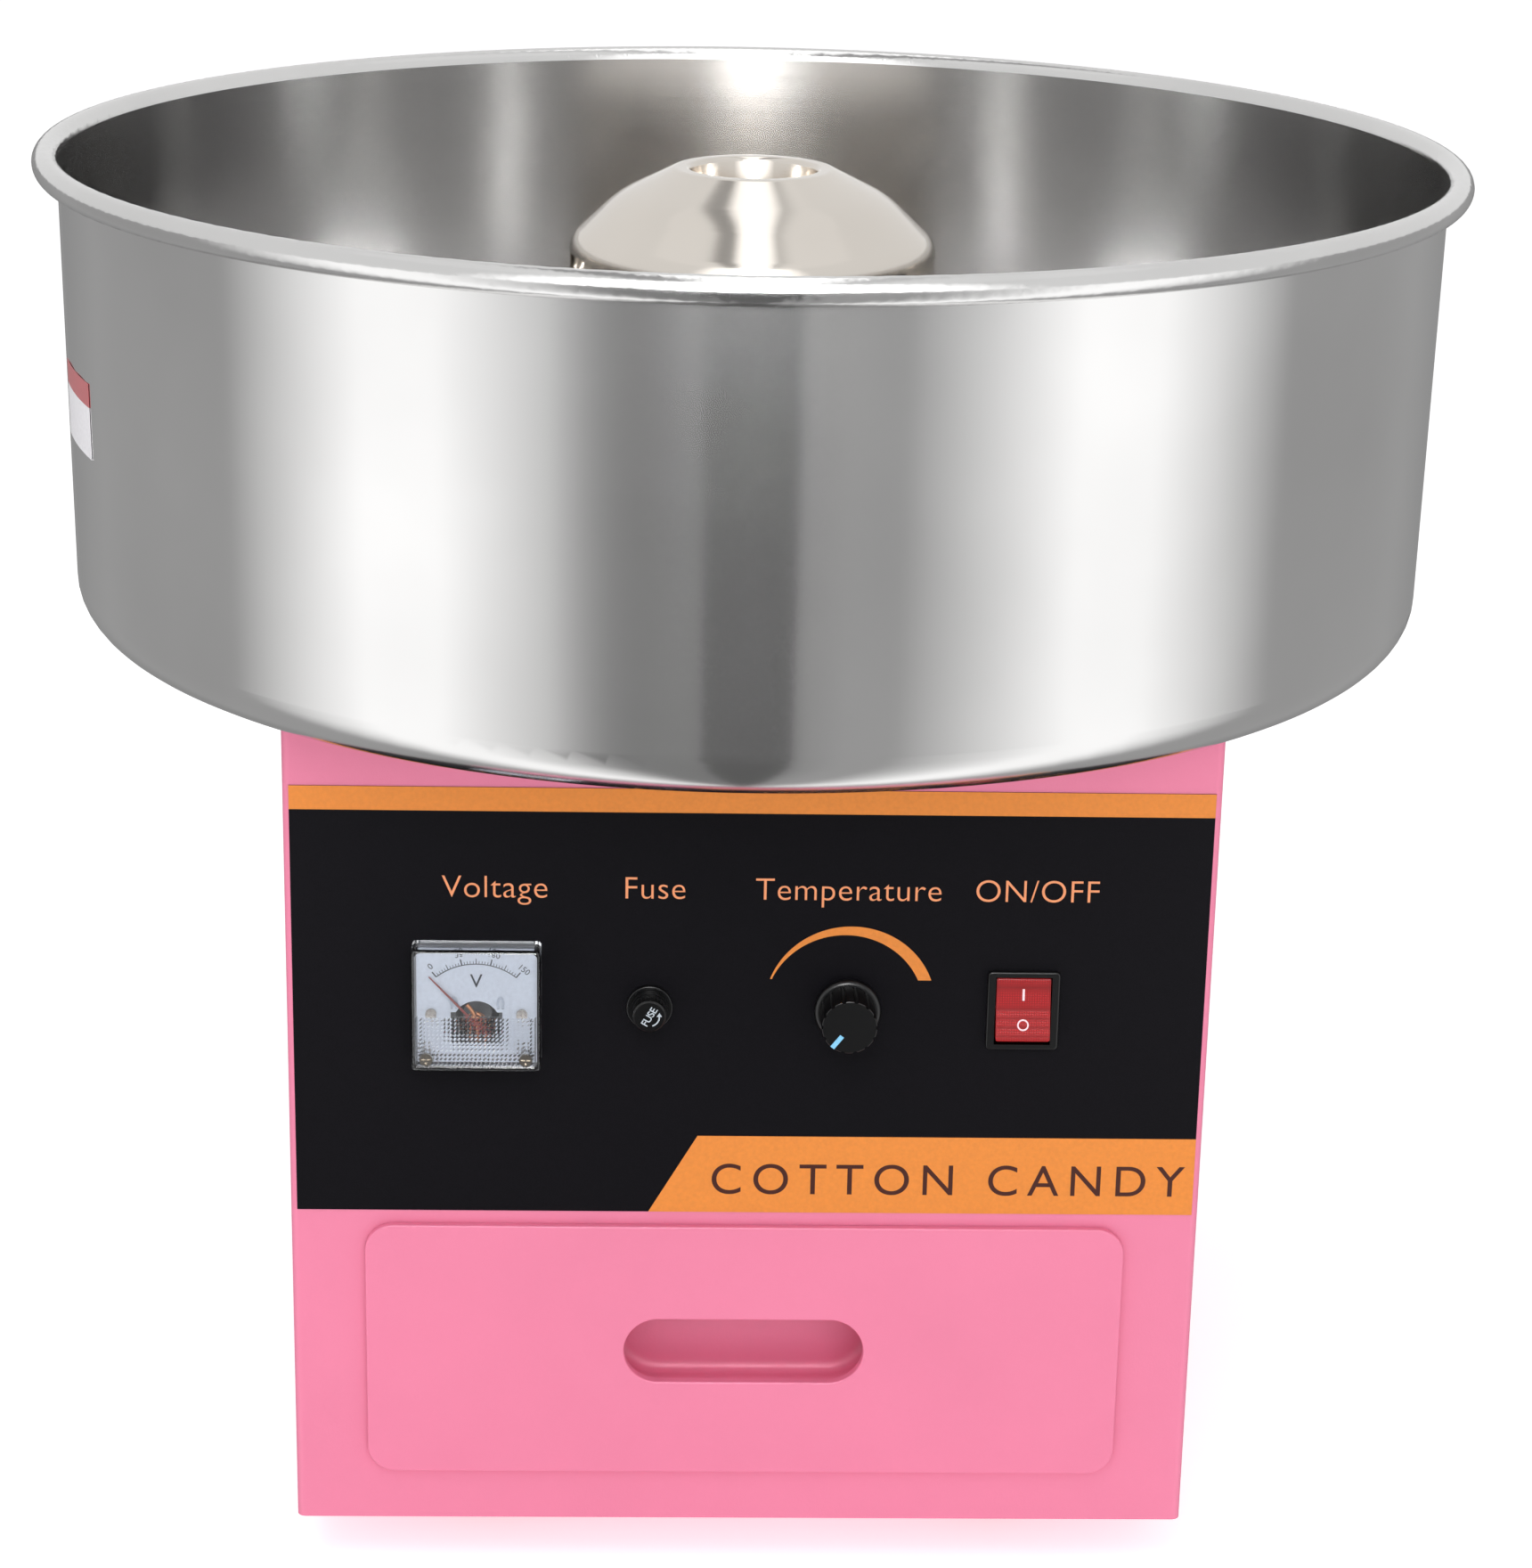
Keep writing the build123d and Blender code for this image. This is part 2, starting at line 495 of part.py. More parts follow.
with BuildPart() as control_knob:
    with BuildSketch(face_plane(KNOB_BACK, KNOB_X, CONTROL_Z)):
        Circle(KNOB_FLANGE_R)
    extrude(amount=KNOB_FLANGE_T)
    fillet(control_knob.faces().sort_by(Axis.Y)[0].edges(), KNOB_FLANGE_T - 0.5)
    with BuildSketch(face_plane(KNOB_BACK, KNOB_X, CONTROL_Z)):
        Circle(KNOB_R)
    extrude(amount=KNOB_D)
    fillet(control_knob.faces().sort_by(Axis.Y)[0].edges(), 0.5)
    # grip flutes
    with BuildSketch(face_plane(KNOB_BACK + KNOB_FLANGE_T, KNOB_X, CONTROL_Z)):
        with PolarLocations(KNOB_R + FLUTE_R / 3, KNOB_FLUTES):
            Circle(FLUTE_R)
    extrude(amount=KNOB_D, mode=Mode.SUBTRACT)
    with BuildSketch(face_plane(KNOB_BACK, KNOB_X, CONTROL_Z)):
        Circle(7.4)
    extrude(amount=2.5, mode=Mode.SUBTRACT)
    with BuildSketch(face_plane(KNOB_BACK, KNOB_X, CONTROL_Z)):
        Circle(POT_SHAFT_R)
    extrude(amount=SHAFT_FRONT - KNOB_BACK, mode=Mode.SUBTRACT)
    # groove for the marker
    marker_plane = Plane(
        origin=(KNOB_X, -(KNOB_BACK + KNOB_D), CONTROL_Z),
        x_dir=(math.cos(math.radians(MARKER_AZ)), 0, math.sin(math.radians(MARKER_AZ))),
        z_dir=(0, -1, 0),
    )
    with BuildSketch(marker_plane):
        with Locations((0, KNOB_R - MARKER_L / 2)):
            Rectangle(MARKER_W, MARKER_L)
    extrude(amount=-MARKER_D, mode=Mode.SUBTRACT)
save(control_knob, "control_knob")

# ---------------------------------------------------------------- rocker switch
BEZEL_W, BEZEL_H, BEZEL_D = 25.4, 29.2, 2.2
ROCKER_W, ROCKER_R = 19.0, 12.2
ROCKER_TILT = -11.0  # the lower end stands proud
ROCKER_MID, ROCKER_RISE, ROCKER_REACH = 4.2, 1.2, 14.0  # shallow V face, measured from the pin
ROCKER_PIVOT = FACE + BEZEL_D - ROCKER_MID  # depth of the rocker's pin
SWITCH_BODY_D = 24.0
ROCKER_CORNER = 1.8
TRUNNION_R = 1.5
with BuildPart() as switch_housing:
    with BuildSketch(face_plane(FACE, SWITCH_X, CONTROL_Z)):
        RectangleRounded(BEZEL_W, BEZEL_H, 1.6)
    extrude(amount=BEZEL_D)
    fillet(switch_housing.faces().sort_by(Axis.Y)[0].edges(), 0.7)
    with BuildSketch(face_plane(FACE, SWITCH_X, CONTROL_Z)):
        Rectangle(SWITCH_HOLE_W - 0.3, SWITCH_HOLE_H - 0.3)
    extrude(amount=-SWITCH_BODY_D)
    with BuildSketch(face_plane(FACE + BEZEL_D, SWITCH_X, CONTROL_Z)):
        Rectangle(ROCKER_W + 0.8, 2 * ROCKER_R + 0.8)
    extrude(amount=-15, mode=Mode.SUBTRACT)
    # bores for the rocker's trunnions
    with BuildSketch(Plane(origin=(SWITCH_X, -ROCKER_PIVOT, CONTROL_Z), x_dir=(0, 1, 0), z_dir=(1, 0, 0))):
        Circle(TRUNNION_R + RUN)
    extrude(amount=ROCKER_W / 2 + 1.2, both=True, mode=Mode.SUBTRACT)
save(switch_housing, "switch_housing")

with BuildPart() as switch_rocker:
    # shallow V face, ends rounded about the pin, built level and then tipped to its stop
    rocker_plane = Plane(origin=(SWITCH_X, -ROCKER_PIVOT, CONTROL_Z), x_dir=(0, -1, 0), z_dir=(-1, 0, 0))
    with BuildSketch(rocker_plane):
        Circle(ROCKER_R)
        with Locations((-ROCKER_R - 3.0, 0)):
            Rectangle(2 * ROCKER_R, 2 * ROCKER_R, mode=Mode.SUBTRACT)
        with BuildLine():
            Polyline(
                (ROCKER_MID, 0),
                (ROCKER_MID + ROCKER_RISE, ROCKER_REACH),
                (2 * ROCKER_R, ROCKER_REACH),
                (2 * ROCKER_R, -ROCKER_REACH),
                (ROCKER_MID + ROCKER_RISE, -ROCKER_REACH),
                close=True,
            )
        make_face(mode=Mode.SUBTRACT)
    extrude(amount=ROCKER_W / 2, both=True)
    with BuildSketch(face_plane(ROCKER_PIVOT, SWITCH_X, CONTROL_Z)):
        RectangleRounded(ROCKER_W, 2 * ROCKER_R, ROCKER_CORNER)
    extrude(amount=2 * ROCKER_R, both=True, mode=Mode.INTERSECT)
    fillet(switch_rocker.edges().filter_by(Axis.X).group_by(Axis.Y)[0], 0.9)
    with BuildSketch(Plane(origin=(SWITCH_X, -ROCKER_PIVOT, CONTROL_Z), x_dir=(0, 1, 0), z_dir=(1, 0, 0))):
        Circle(TRUNNION_R)
    extrude(amount=ROCKER_W / 2 + 1.0, both=True)
    # hollow underneath
    with BuildSketch(rocker_plane):
        with Locations((-1.0, -5.6), (-1.0, 5.6)):
            Rectangle(5, 7.4)
    extrude(amount=ROCKER_W / 2 - 1.4, both=True, mode=Mode.SUBTRACT)
    tipped = switch_rocker.part.rotate(
        Axis((SWITCH_X, -ROCKER_PIVOT, CONTROL_Z), (1, 0, 0)), ROCKER_TILT
    )
    add(tipped, mode=Mode.REPLACE)
save(switch_rocker, "switch_rocker")

# ---------------------------------------------------------------- drawer
BOX_W, BOX_LOW, BOX_H, BOX_REAR = 256.0, 48.0, 80.0, 88.0
BOX_T = 1.0
FRONT_T = 2.5
SLOT_W, SLOT_H = 86.4, 25.0
POCKET_W, POCKET_H, POCKET_D = 98.0, 37.0, 18.0
DRAWER_BACK = FRONT + GAP  # rear face of the overlay front
with BuildPart() as drawer_front:
    with BuildSketch(face_plane(DRAWER_BACK, 0, DRAWER_Z)):
        RectangleRounded(DRAWER_W, DRAWER_H, 10)
        SlotOverall(SLOT_W, SLOT_H, mode=Mode.SUBTRACT)
    extrude(amount=FRONT_T)
    fillet(drawer_front.faces().sort_by(Axis.Y)[0].edges(), 0.7)
save(drawer_front, "drawer_front")

with BuildPart() as drawer_box:
    box_depth = BOX_REAR + DRAWER_BACK
    with BuildSketch(Plane.XY.offset(BOX_LOW)):
        with Locations((0, BOX_REAR - box_depth / 2)):
            Rectangle(BOX_W, box_depth)
    extrude(amount=BOX_H)
    with BuildSketch(Plane.XY.offset(BOX_LOW + BOX_T)):
        with Locations((0, BOX_REAR - box_depth / 2)):
            Rectangle(BOX_W - 2 * BOX_T, box_depth - 2 * BOX_T)
    extrude(amount=BOX_H, mode=Mode.SUBTRACT)
    with BuildSketch(face_plane(DRAWER_BACK, 0, DRAWER_Z)):
        SlotOverall(SLOT_W, SLOT_H)
    extrude(amount=-BOX_T - 0.5, mode=Mode.SUBTRACT)
save(drawer_box, "drawer_box")

POCKET_R = 5.0
pocket_front = DRAWER_BACK - BOX_T


def pocket_block(inset, depth):
    """A round-ended block behind the handle slot, rounded at its far end."""
    with BuildPart() as block:
        with BuildSketch(face_plane(pocket_front, 0, DRAWER_Z)):
            SlotOverall(POCKET_W - 2 * inset, POCKET_H - 2 * inset)
        extrude(amount=-depth)
        fillet(block.faces().sort_by(Axis.Y)[-1].edges(), POCKET_R - inset)
    return block.part


with BuildPart() as drawer_pocket:
    add(pocket_block(0, POCKET_D))
    add(pocket_block(BOX_T, POCKET_D - BOX_T), mode=Mode.SUBTRACT)
save(drawer_pocket, "drawer_pocket")

RUNNER_LEDGE = 12.0
RUNNER_WEB_X = BOX_W / 2 + 1.5
with BuildPart() as drawer_runners:
    for side in (-1, 1):
        with BuildSketch(Plane.XZ.offset(140)):
            # foot on the base plate, web beside the drawer, ledge beneath it
            with Locations((side * (RUNNER_WEB_X + 8), FOOT_H + 1.5 * SHEET)):
                Rectangle(16, SHEET)
            with Locations((side * (RUNNER_WEB_X + SHEET / 2), FOOT_H + SHEET + 24)):
                Rectangle(SHEET, 48)
            with Locations((side * (RUNNER_WEB_X - RUNNER_LEDGE / 2), BOX_LOW - GAP - SHEET / 2)):
                Rectangle(RUNNER_LEDGE + 1, SHEET)
        extrude(amount=-250)
        # stop tab behind the drawer box
        with BuildSketch(Plane.XZ.offset(-110)):
            with Locations((side * (RUNNER_WEB_X - 6), FOOT_H + SHEET + 35)):
                Rectangle(12, 20)
        extrude(amount=SHEET)
save(drawer_runners, "drawer_runners")

# ---------------------------------------------------------------- mains inlet
with BuildPart() as mains_inlet:
    with BuildSketch(rear_plane(FRONT, INLET_X, INLET_Z)):
        RectangleRounded(INLET_W, INLET_H, 4)
    extrude(amount=INLET_FLANGE)
    fillet(mains_inlet.faces().sort_by(Axis.Y)[-1].edges(), 0.8)
    with BuildSketch(rear_plane(FRONT, INLET_X, INLET_Z)):
        Rectangle(INLET_HOLE_W - 0.4, INLET_HOLE_H - 0.4)
    extrude(amount=-INLET_BODY_D)
    with BuildSketch(rear_plane(FRONT + INLET_FLANGE, INLET_X, INLET_Z)) as cavity:
        Rectangle(24.5, 16.8)
        chamfer(cavity.vertices().group_by(Axis.Z)[-1], 4.0)
    extrude(amount=-18, mode=Mode.SUBTRACT)
    with BuildSketch(rear_plane(FRONT + INLET_FLANGE, INLET_X, INLET_Z)):
        with GridLocations(INLET_SCREW_PITCH, 0, 2, 1):
            Circle(SCREW_HOLE_R)
    extrude(amount=-5, mode=Mode.SUBTRACT)
save(mains_inlet, "mains_inlet")

with BuildPart() as brass_terminals:
    # voltmeter studs with their nuts
    for x in (-9.0, 9.0):
        with BuildSketch(face_plane(FACE - CASE_D, METER_X + x, CONTROL_Z)):
            Circle(2.0)
        extrude(amount=-12)
        with BuildSketch(face_plane(FACE - CASE_D - 3, METER_X + x, CONTROL_Z)):
            RegularPolygon(4.0, 6)
        extrude(amount=-3)
    # push-on tabs of the switch
    for x in (-5.5, 5.5):
        for z in (-7.0, 7.0):
            with BuildSketch(face_plane(FACE - SWITCH_BODY_D, SWITCH_X + x, CONTROL_Z + z)):
                Rectangle(0.8, 6.3)
            extrude(amount=-9)
    # pins of the mains inlet, with their tabs inside the cabinet
    for x, z in ((-7.0, -2.0), (7.0, -2.0), (0.0, 2.6)):
        with BuildSketch(rear_plane(FRONT + INLET_FLANGE - 6, INLET_X + x, INLET_Z + z)):
            Rectangle(2.0, 4.0)
        extrude(amount=-12)
        with BuildSketch(rear_plane(FRONT - INLET_BODY_D, INLET_X + x, INLET_Z + z)):
            Rectangle(0.8, 4.8)
        extrude(amount=-9)
save(brass_terminals, "brass_terminals")

# ---------------------------------------------------------------- electrics on the shelf
BOARD_X, BOARD_Y, BOARD_Z = 80.0, 100.0, SHELF_Z + 8.0
BOARD_L, BOARD_W, BOARD_T = 90.0, 60.0, 1.6
BOARD_TOP = BOARD_Z + BOARD_T
with BuildPart() as dimmer_board:
    with BuildSketch(Plane.XY.offset(BOARD_Z)):
        with Locations((BOARD_X, BOARD_Y)):
            Rectangle(BOARD_L, BOARD_W)
    extrude(amount=BOARD_T)
    with BuildSketch(Plane.XY.offset(SHELF_Z)):
        with Locations((BOARD_X, BOARD_Y)):
            with GridLocations(BOARD_L - 10, BOARD_W - 10, 2, 2):
                Circle(3)
    extrude(amount=BOARD_Z - SHELF_Z)
    # relay and choke stand on the board
    with BuildSketch(Plane.XY.offset(BOARD_TOP)):
        with Locations((BOARD_X + 28, BOARD_Y + 10)):
            Rectangle(20, 16)
        with Locations((BOARD_X + 30, BOARD_Y - 16)):
            Circle(9)
    extrude(amount=16)
save(dimmer_board, "dimmer_board")

FIN_COUNT, FIN_PITCH, FIN_T, FIN_L, SINK_H = 8, 6.0, 1.4, 22.0, 34.0
with BuildPart() as heat_sink:
    with BuildSketch(Plane.XY.offset(BOARD_TOP)):
        with Locations((BOARD_X - 16, BOARD_Y - 12)):
            Rectangle(44, 4)
        with Locations((BOARD_X - 16, BOARD_Y + 0.5)):
            with GridLocations(FIN_PITCH, 0, FIN_COUNT, 1):
                Rectangle(FIN_T, FIN_L)
    extrude(amount=SINK_H)
save(heat_sink, "heat_sink")

# ---------------------------------------------------------------- motor
MOTOR_R, CAN_T = 52.0, 2.0
CAN_LOW, CAN_HIGH = 212.0, 288.0
MOUNT_Z = 300.0
SHAFT_R = 5.0
BEARING_R, BEARING_W = 13.0, 8.0
with BuildPart() as motor_can:
    add(ring_part(MOTOR_R - CAN_T, MOTOR_R, CAN_LOW, CAN_HIGH).part)
save(motor_can, "motor_can")


def end_cap(low, high, bearing_low):
    """Cast end cap with a bearing seat and six vent holes."""
    with BuildPart() as cap:
        with BuildSketch(Plane.XY.offset(low)):
            Circle(MOTOR_R)
            Circle(SHAFT_R + 1.5, mode=Mode.SUBTRACT)
            with PolarLocations(34, 6):
                Circle(7, mode=Mode.SUBTRACT)
        extrude(amount=high - low)
        with BuildSketch(Plane.XY.offset(bearing_low)):
            Circle(BEARING_R)
        extrude(amount=BEARING_W, mode=Mode.SUBTRACT)
    return cap


CAP_H = 12.0
BEARING_LOWS = (CAN_LOW - BEARING_W, CAN_HIGH)  # both open into the motor
with BuildPart() as motor_end_caps:
    add(end_cap(CAN_LOW - CAP_H, CAN_LOW, BEARING_LOWS[0]).part)
    add(end_cap(CAN_HIGH, CAN_HIGH + CAP_H, BEARING_LOWS[1]).part)
save(motor_end_caps, "motor_end_caps")

with BuildPart() as motor_bearings:
    for low in BEARING_LOWS:
        add(ring_part(SHAFT_R + RUN, BEARING_R, low, low + BEARING_W).part)
save(motor_bearings, "motor_bearings")

STATOR_LOW, STATOR_HIGH = 226.0, 274.0
ROTOR_R = 27.6
STATOR_SLOTS, STATOR_SLOT_R = 24, 33.5
WINDING_H, END_RING_H = 9.0, 5.0
with BuildPart() as motor_stator:
    with BuildSketch(Plane.XY.offset(STATOR_LOW)):
        Circle(MOTOR_R - CAN_T)
        Circle(ROTOR_R + 0.4, mode=Mode.SUBTRACT)
        with PolarLocations(STATOR_SLOT_R, STATOR_SLOTS):
            Rectangle(9, 3, mode=Mode.SUBTRACT)
    extrude(amount=STATOR_HIGH - STATOR_LOW)
save(motor_stator, "motor_stator")

with BuildPart() as motor_windings:
    for low, high in ((STATOR_LOW - WINDING_H, STATOR_LOW), (STATOR_HIGH, STATOR_HIGH + WINDING_H)):
        with BuildSketch(Plane.XZ):
            with Locations((37.5, (low + high) / 2)):
                RectangleRounded(13, high - low, 2.5)
        revolve(axis=Axis.Z)
save(motor_windings, "motor_windings")

with BuildPart() as motor_rotor:
    add(ring_part(SHAFT_R, ROTOR_R, STATOR_LOW, STATOR_HIGH).part)
    for low, high in ((STATOR_LOW - END_RING_H, STATOR_LOW), (STATOR_HIGH, STATOR_HIGH + END_RING_H)):
        add(ring_part(17, ROTOR_R - 1.1, low, high).part)
save(motor_rotor, "motor_rotor")

PLATE_SIZE, PLATE_T = 118.0, 2.0
BOBBIN_R, WAIST_R, COLLAR_H = 8.0, 5.0, 4.0  # rubber mounts in the plate
with BuildPart() as motor_plate:
    with BuildSketch(Plane.XY.offset(MOUNT_Z)):
        RectangleRounded(PLATE_SIZE, PLATE_SIZE, 8)
        Circle(30, mode=Mode.SUBTRACT)
        with GridLocations(MOUNT_PITCH, MOUNT_PITCH, 2, 2):
            Circle(WAIST_R, mode=Mode.SUBTRACT)
    extrude(amount=PLATE_T)
save(motor_plate, "motor_plate")

with BuildPart() as motor_mounts:
    # rubber bobbins: a collar under the plate, a waist through it and a tall pad up to the lid
    for low, high, radius in (
        (MOUNT_Z - COLLAR_H, MOUNT_Z, BOBBIN_R),
        (MOUNT_Z, MOUNT_Z + PLATE_T, WAIST_R),
        (MOUNT_Z + PLATE_T, CAB_TOP - SHEET, BOBBIN_R),
    ):
        with BuildSketch(Plane.XY.offset(low)):
            with GridLocations(MOUNT_PITCH, MOUNT_PITCH, 2, 2):
                Circle(radius)
        extrude(amount=high - low)
    with BuildSketch(Plane.XY.offset(MOUNT_Z - COLLAR_H)):
        with GridLocations(MOUNT_PITCH, MOUNT_PITCH, 2, 2):
            Circle(BOLT_R + RUN)
    extrude(amount=CAB_TOP, mode=Mode.SUBTRACT)
save(motor_mounts, "motor_mounts")


def bolt_group(points, head_at, head_up, nut_at, nut_up, tip):
    """M5 bolts with round socket heads on one face and hex nuts on the other."""
    with BuildPart() as bolts:
        with BuildSketch(Plane.XY.offset(head_at)):
            with GridLocations(*points, 2, 2):
                Circle(4.8)
        extrude(amount=3 * head_up)
        with BuildSketch(Plane.XY.offset(head_at + 3 * head_up)):
            with GridLocations(*points, 2, 2):
                RegularPolygon(2.2, 6)
        extrude(amount=-1.8 * head_up, mode=Mode.SUBTRACT)
        with BuildSketch(Plane.XY.offset(head_at)):
            with GridLocations(*points, 2, 2):
                Circle(BOLT_R)
        extrude(amount=tip - head_at)
        with BuildSketch(Plane.XY.offset(nut_at)):
            with GridLocations(*points, 2, 2):
                RegularPolygon(4.6, 6)
        extrude(amount=4 * nut_up)
    return bolts.part


with BuildPart() as machine_bolts:
    add(bolt_group((MOUNT_PITCH, MOUNT_PITCH), CAB_TOP, 1, MOUNT_Z - COLLAR_H, -1, MOUNT_Z - COLLAR_H - 5))
    add(bolt_group((2 * FOOT_X, 2 * FOOT_Y), FOOT_RECESS, -1, FOOT_H + SHEET, 1, FOOT_H + SHEET + 6))
save(machine_bolts, "machine_bolts")

FAN_R, FAN_HUB_R, FAN_LOW, FAN_H = 44.0, 11.0, 184.0, 12.0
FAN_BLADES = 7
BLADE_L, BLADE_CHORD, BLADE_PITCH = 36.0, 15.0, 35.0
BLADE_MID_R = FAN_R - 1 - BLADE_L / 2
with BuildPart() as cooling_fan:
    with BuildSketch(Plane.XY.offset(FAN_LOW)):
        Circle(FAN_HUB_R)
    extrude(amount=FAN_H)
    for i in range(FAN_BLADES):
        with Locations(Location((0, 0, FAN_LOW + FAN_H / 2), (0, 0, 360 / FAN_BLADES * i))):
            with Locations(Location((BLADE_MID_R, 0, 0), (BLADE_PITCH, 0, 0))):
                Box(BLADE_L, BLADE_CHORD, 1.4)
    with BuildSketch(Plane.XY.offset(FAN_LOW)):
        Circle(SHAFT_R)
    extrude(amount=FAN_H, mode=Mode.SUBTRACT)
save(cooling_fan, "cooling_fan")

# ---------------------------------------------------------------- neck: guard, brushes and slip rings
GUARD_BASE_R, GUARD_TOP_R, GUARD_TOP = 73.0, 62.0, 424.0
GUARD_T = 1.0
FLANGE_OUT_R = 84.0
with BuildPart() as neck_guard:
    with BuildSketch(Plane.XZ):
        with BuildLine():
            FilletPolyline(
                (FLANGE_OUT_R, CAB_TOP + GUARD_T / 2),
                (GUARD_BASE_R, CAB_TOP + GUARD_T / 2),
                (GUARD_TOP_R, GUARD_TOP - 10),
                (GUARD_TOP_R, GUARD_TOP),
                (GUARD_TOP_R - 5, GUARD_TOP),
                radius=[4, 20, 2.5],
            )
        trace(line_width=GUARD_T)
    revolve(axis=Axis.Z)
save(neck_guard, "neck_guard")

DRUM_R, DRUM_LOW, DRUM_HIGH = 20.0, 382.0, 414.0
RING_BANDS = ((387.0, 393.0), (402.0, 408.0))
BAND_MID_Z = (RING_BANDS[0][0] + RING_BANDS[1][1]) / 2
with BuildPart() as slip_ring_drum:
    with BuildSketch(Plane.XZ):
        with Locations(((SHAFT_R + DRUM_R) / 2, (DRUM_LOW + DRUM_HIGH) / 2)):
            Rectangle(DRUM_R - SHAFT_R, DRUM_HIGH - DRUM_LOW)
        # rib that keeps the rings apart
        with Locations((DRUM_R - 1, BAND_MID_Z)):
            Rectangle(4, 3)
    revolve(axis=Axis.Z)
save(slip_ring_drum, "slip_ring_drum")

RING_R = 21.5
with BuildPart() as slip_rings:
    for low, high in RING_BANDS:
        add(ring_part(DRUM_R, RING_R, low, high).part)
save(slip_rings, "slip_rings")

HOLDER_X, HOLDER_L = 26.0, 27.0
BRUSH_R = 2.8
with BuildPart() as brush_holder:
    with BuildSketch(Plane(origin=(HOLDER_X, 0, 0), x_dir=(0, 1, 0), z_dir=(1, 0, 0))):
        with Locations((0, BAND_MID_Z)):
            RectangleRounded(18, DRUM_HIGH - DRUM_LOW, 2)
        for low, high in RING_BANDS:
            with Locations((0, (low + high) / 2)):
                Circle(BRUSH_R + RUN, mode=Mode.SUBTRACT)
    extrude(amount=HOLDER_L)
save(brush_holder, "brush_holder")

BRUSH_START, BRUSH_L = RING_R + GAP, 14.0
with BuildPart() as carbon_brushes:
    for low, high in RING_BANDS:
        with BuildSketch(Plane(origin=(BRUSH_START, 0, (low + high) / 2), x_dir=(0, 1, 0), z_dir=(1, 0, 0))):
            Circle(BRUSH_R)
        extrude(amount=BRUSH_L)
save(carbon_brushes, "carbon_brushes")

SPRING_R, SPRING_WIRE_R, SPRING_PITCH = 1.9, 0.3, 1.7
BRACKET_X, BRACKET_T, BRACKET_W = HOLDER_X + HOLDER_L, 1.5, 20.0
with BuildPart() as brush_springs:
    spring_start = BRUSH_START + BRUSH_L + SPRING_WIRE_R
    spring_length = BRACKET_X - spring_start - 2 * SPRING_WIRE_R
    for low, high in RING_BANDS:
        centre = (spring_start, 0, (low + high) / 2)
        with BuildLine() as coil:
            Helix(SPRING_PITCH, spring_length, SPRING_R, center=centre, direction=(1, 0, 0))
        with BuildSketch(Plane(origin=coil.line @ 0, z_dir=coil.line % 0)):
            Circle(SPRING_WIRE_R)
        sweep(path=coil.line)
save(brush_springs, "brush_springs")

with BuildPart() as brush_bracket:
    with BuildSketch(Plane.XY.offset(CAB_TOP)):
        with Locations((BRACKET_X - 7, 0)):
            Rectangle(14, BRACKET_W)
    extrude(amount=BRACKET_T)
    with BuildSketch(Plane(origin=(BRACKET_X, 0, 0), x_dir=(0, 1, 0), z_dir=(1, 0, 0))):
        with Locations((0, (CAB_TOP + DRUM_HIGH) / 2)):
            Rectangle(BRACKET_W, DRUM_HIGH - CAB_TOP)
    extrude(amount=BRACKET_T)
save(brush_bracket, "brush_bracket")

# ---------------------------------------------------------------- spinning head
PAN_Z = 435.0
HEAD_T = 1.2
SKIRT_R = HEAD_R - HEAD_T / 2
SHAFT_TOP = 457.0
with BuildPart() as drive_shaft:
    with BuildSketch(Plane.XY.offset(FAN_LOW - 2)):
        Circle(SHAFT_R)
    extrude(amount=SHAFT_TOP - FAN_LOW + 2)
    chamfer(drive_shaft.faces().sort_by(Axis.Z)[-1].edges(), 0.8)
save(drive_shaft, "drive_shaft")

HUB_R, HUB_LOW, HUB_HIGH = 13.0, 426.0, 446.0
with BuildPart() as head_hub:
    with BuildSketch(Plane.XZ):
        with BuildLine():
            Polyline(
                (SHAFT_R, HUB_LOW),
                (HUB_R, HUB_LOW),
                (HUB_R, PAN_Z - HEAD_T / 2),
                (9.0, PAN_Z - HEAD_T / 2),
                (9.0, HUB_HIGH),
                (SHAFT_R, HUB_HIGH),
                close=True,
            )
        make_face()
    revolve(axis=Axis.Z)
save(head_hub, "head_hub")

HEATER_R, HEATER_TUBE_R, HEATER_Z = 47.0, 3.2, 448.0
HEATER_GAP = 24.0  # degrees left open between the two legs
LEG_ANGLES = (90.0 - HEATER_GAP / 2, 90.0 + HEATER_GAP / 2)
LEG_R, BUSH_R = 2.0, 4.0
STUD_R, STUD_CIRCLE, STUD_ANGLES = 1.8, 56.0, (30.0, 150.0, 270.0)
STUD_TOP = 472.0
with BuildPart() as head_pan:
    with BuildSketch(Plane.XZ):
        with BuildLine():
            FilletPolyline(
                (9.0, PAN_Z), (50.0, PAN_Z), (SKIRT_R, PAN_Z + 3), (SKIRT_R, PAN_Z + 6), radius=[8, 2]
            )
        trace(line_width=HEAD_T)
    revolve(axis=Axis.Z)
    with BuildSketch(Plane.XY.offset(PAN_Z - 3)):
        for angle in STUD_ANGLES:
            with PolarLocations(STUD_CIRCLE, 1, start_angle=angle):
                Circle(STUD_R)
        for angle in LEG_ANGLES:
            with PolarLocations(HEATER_R, 1, start_angle=angle):
                Circle(BUSH_R)
    extrude(amount=8, mode=Mode.SUBTRACT)
save(head_pan, "head_pan")

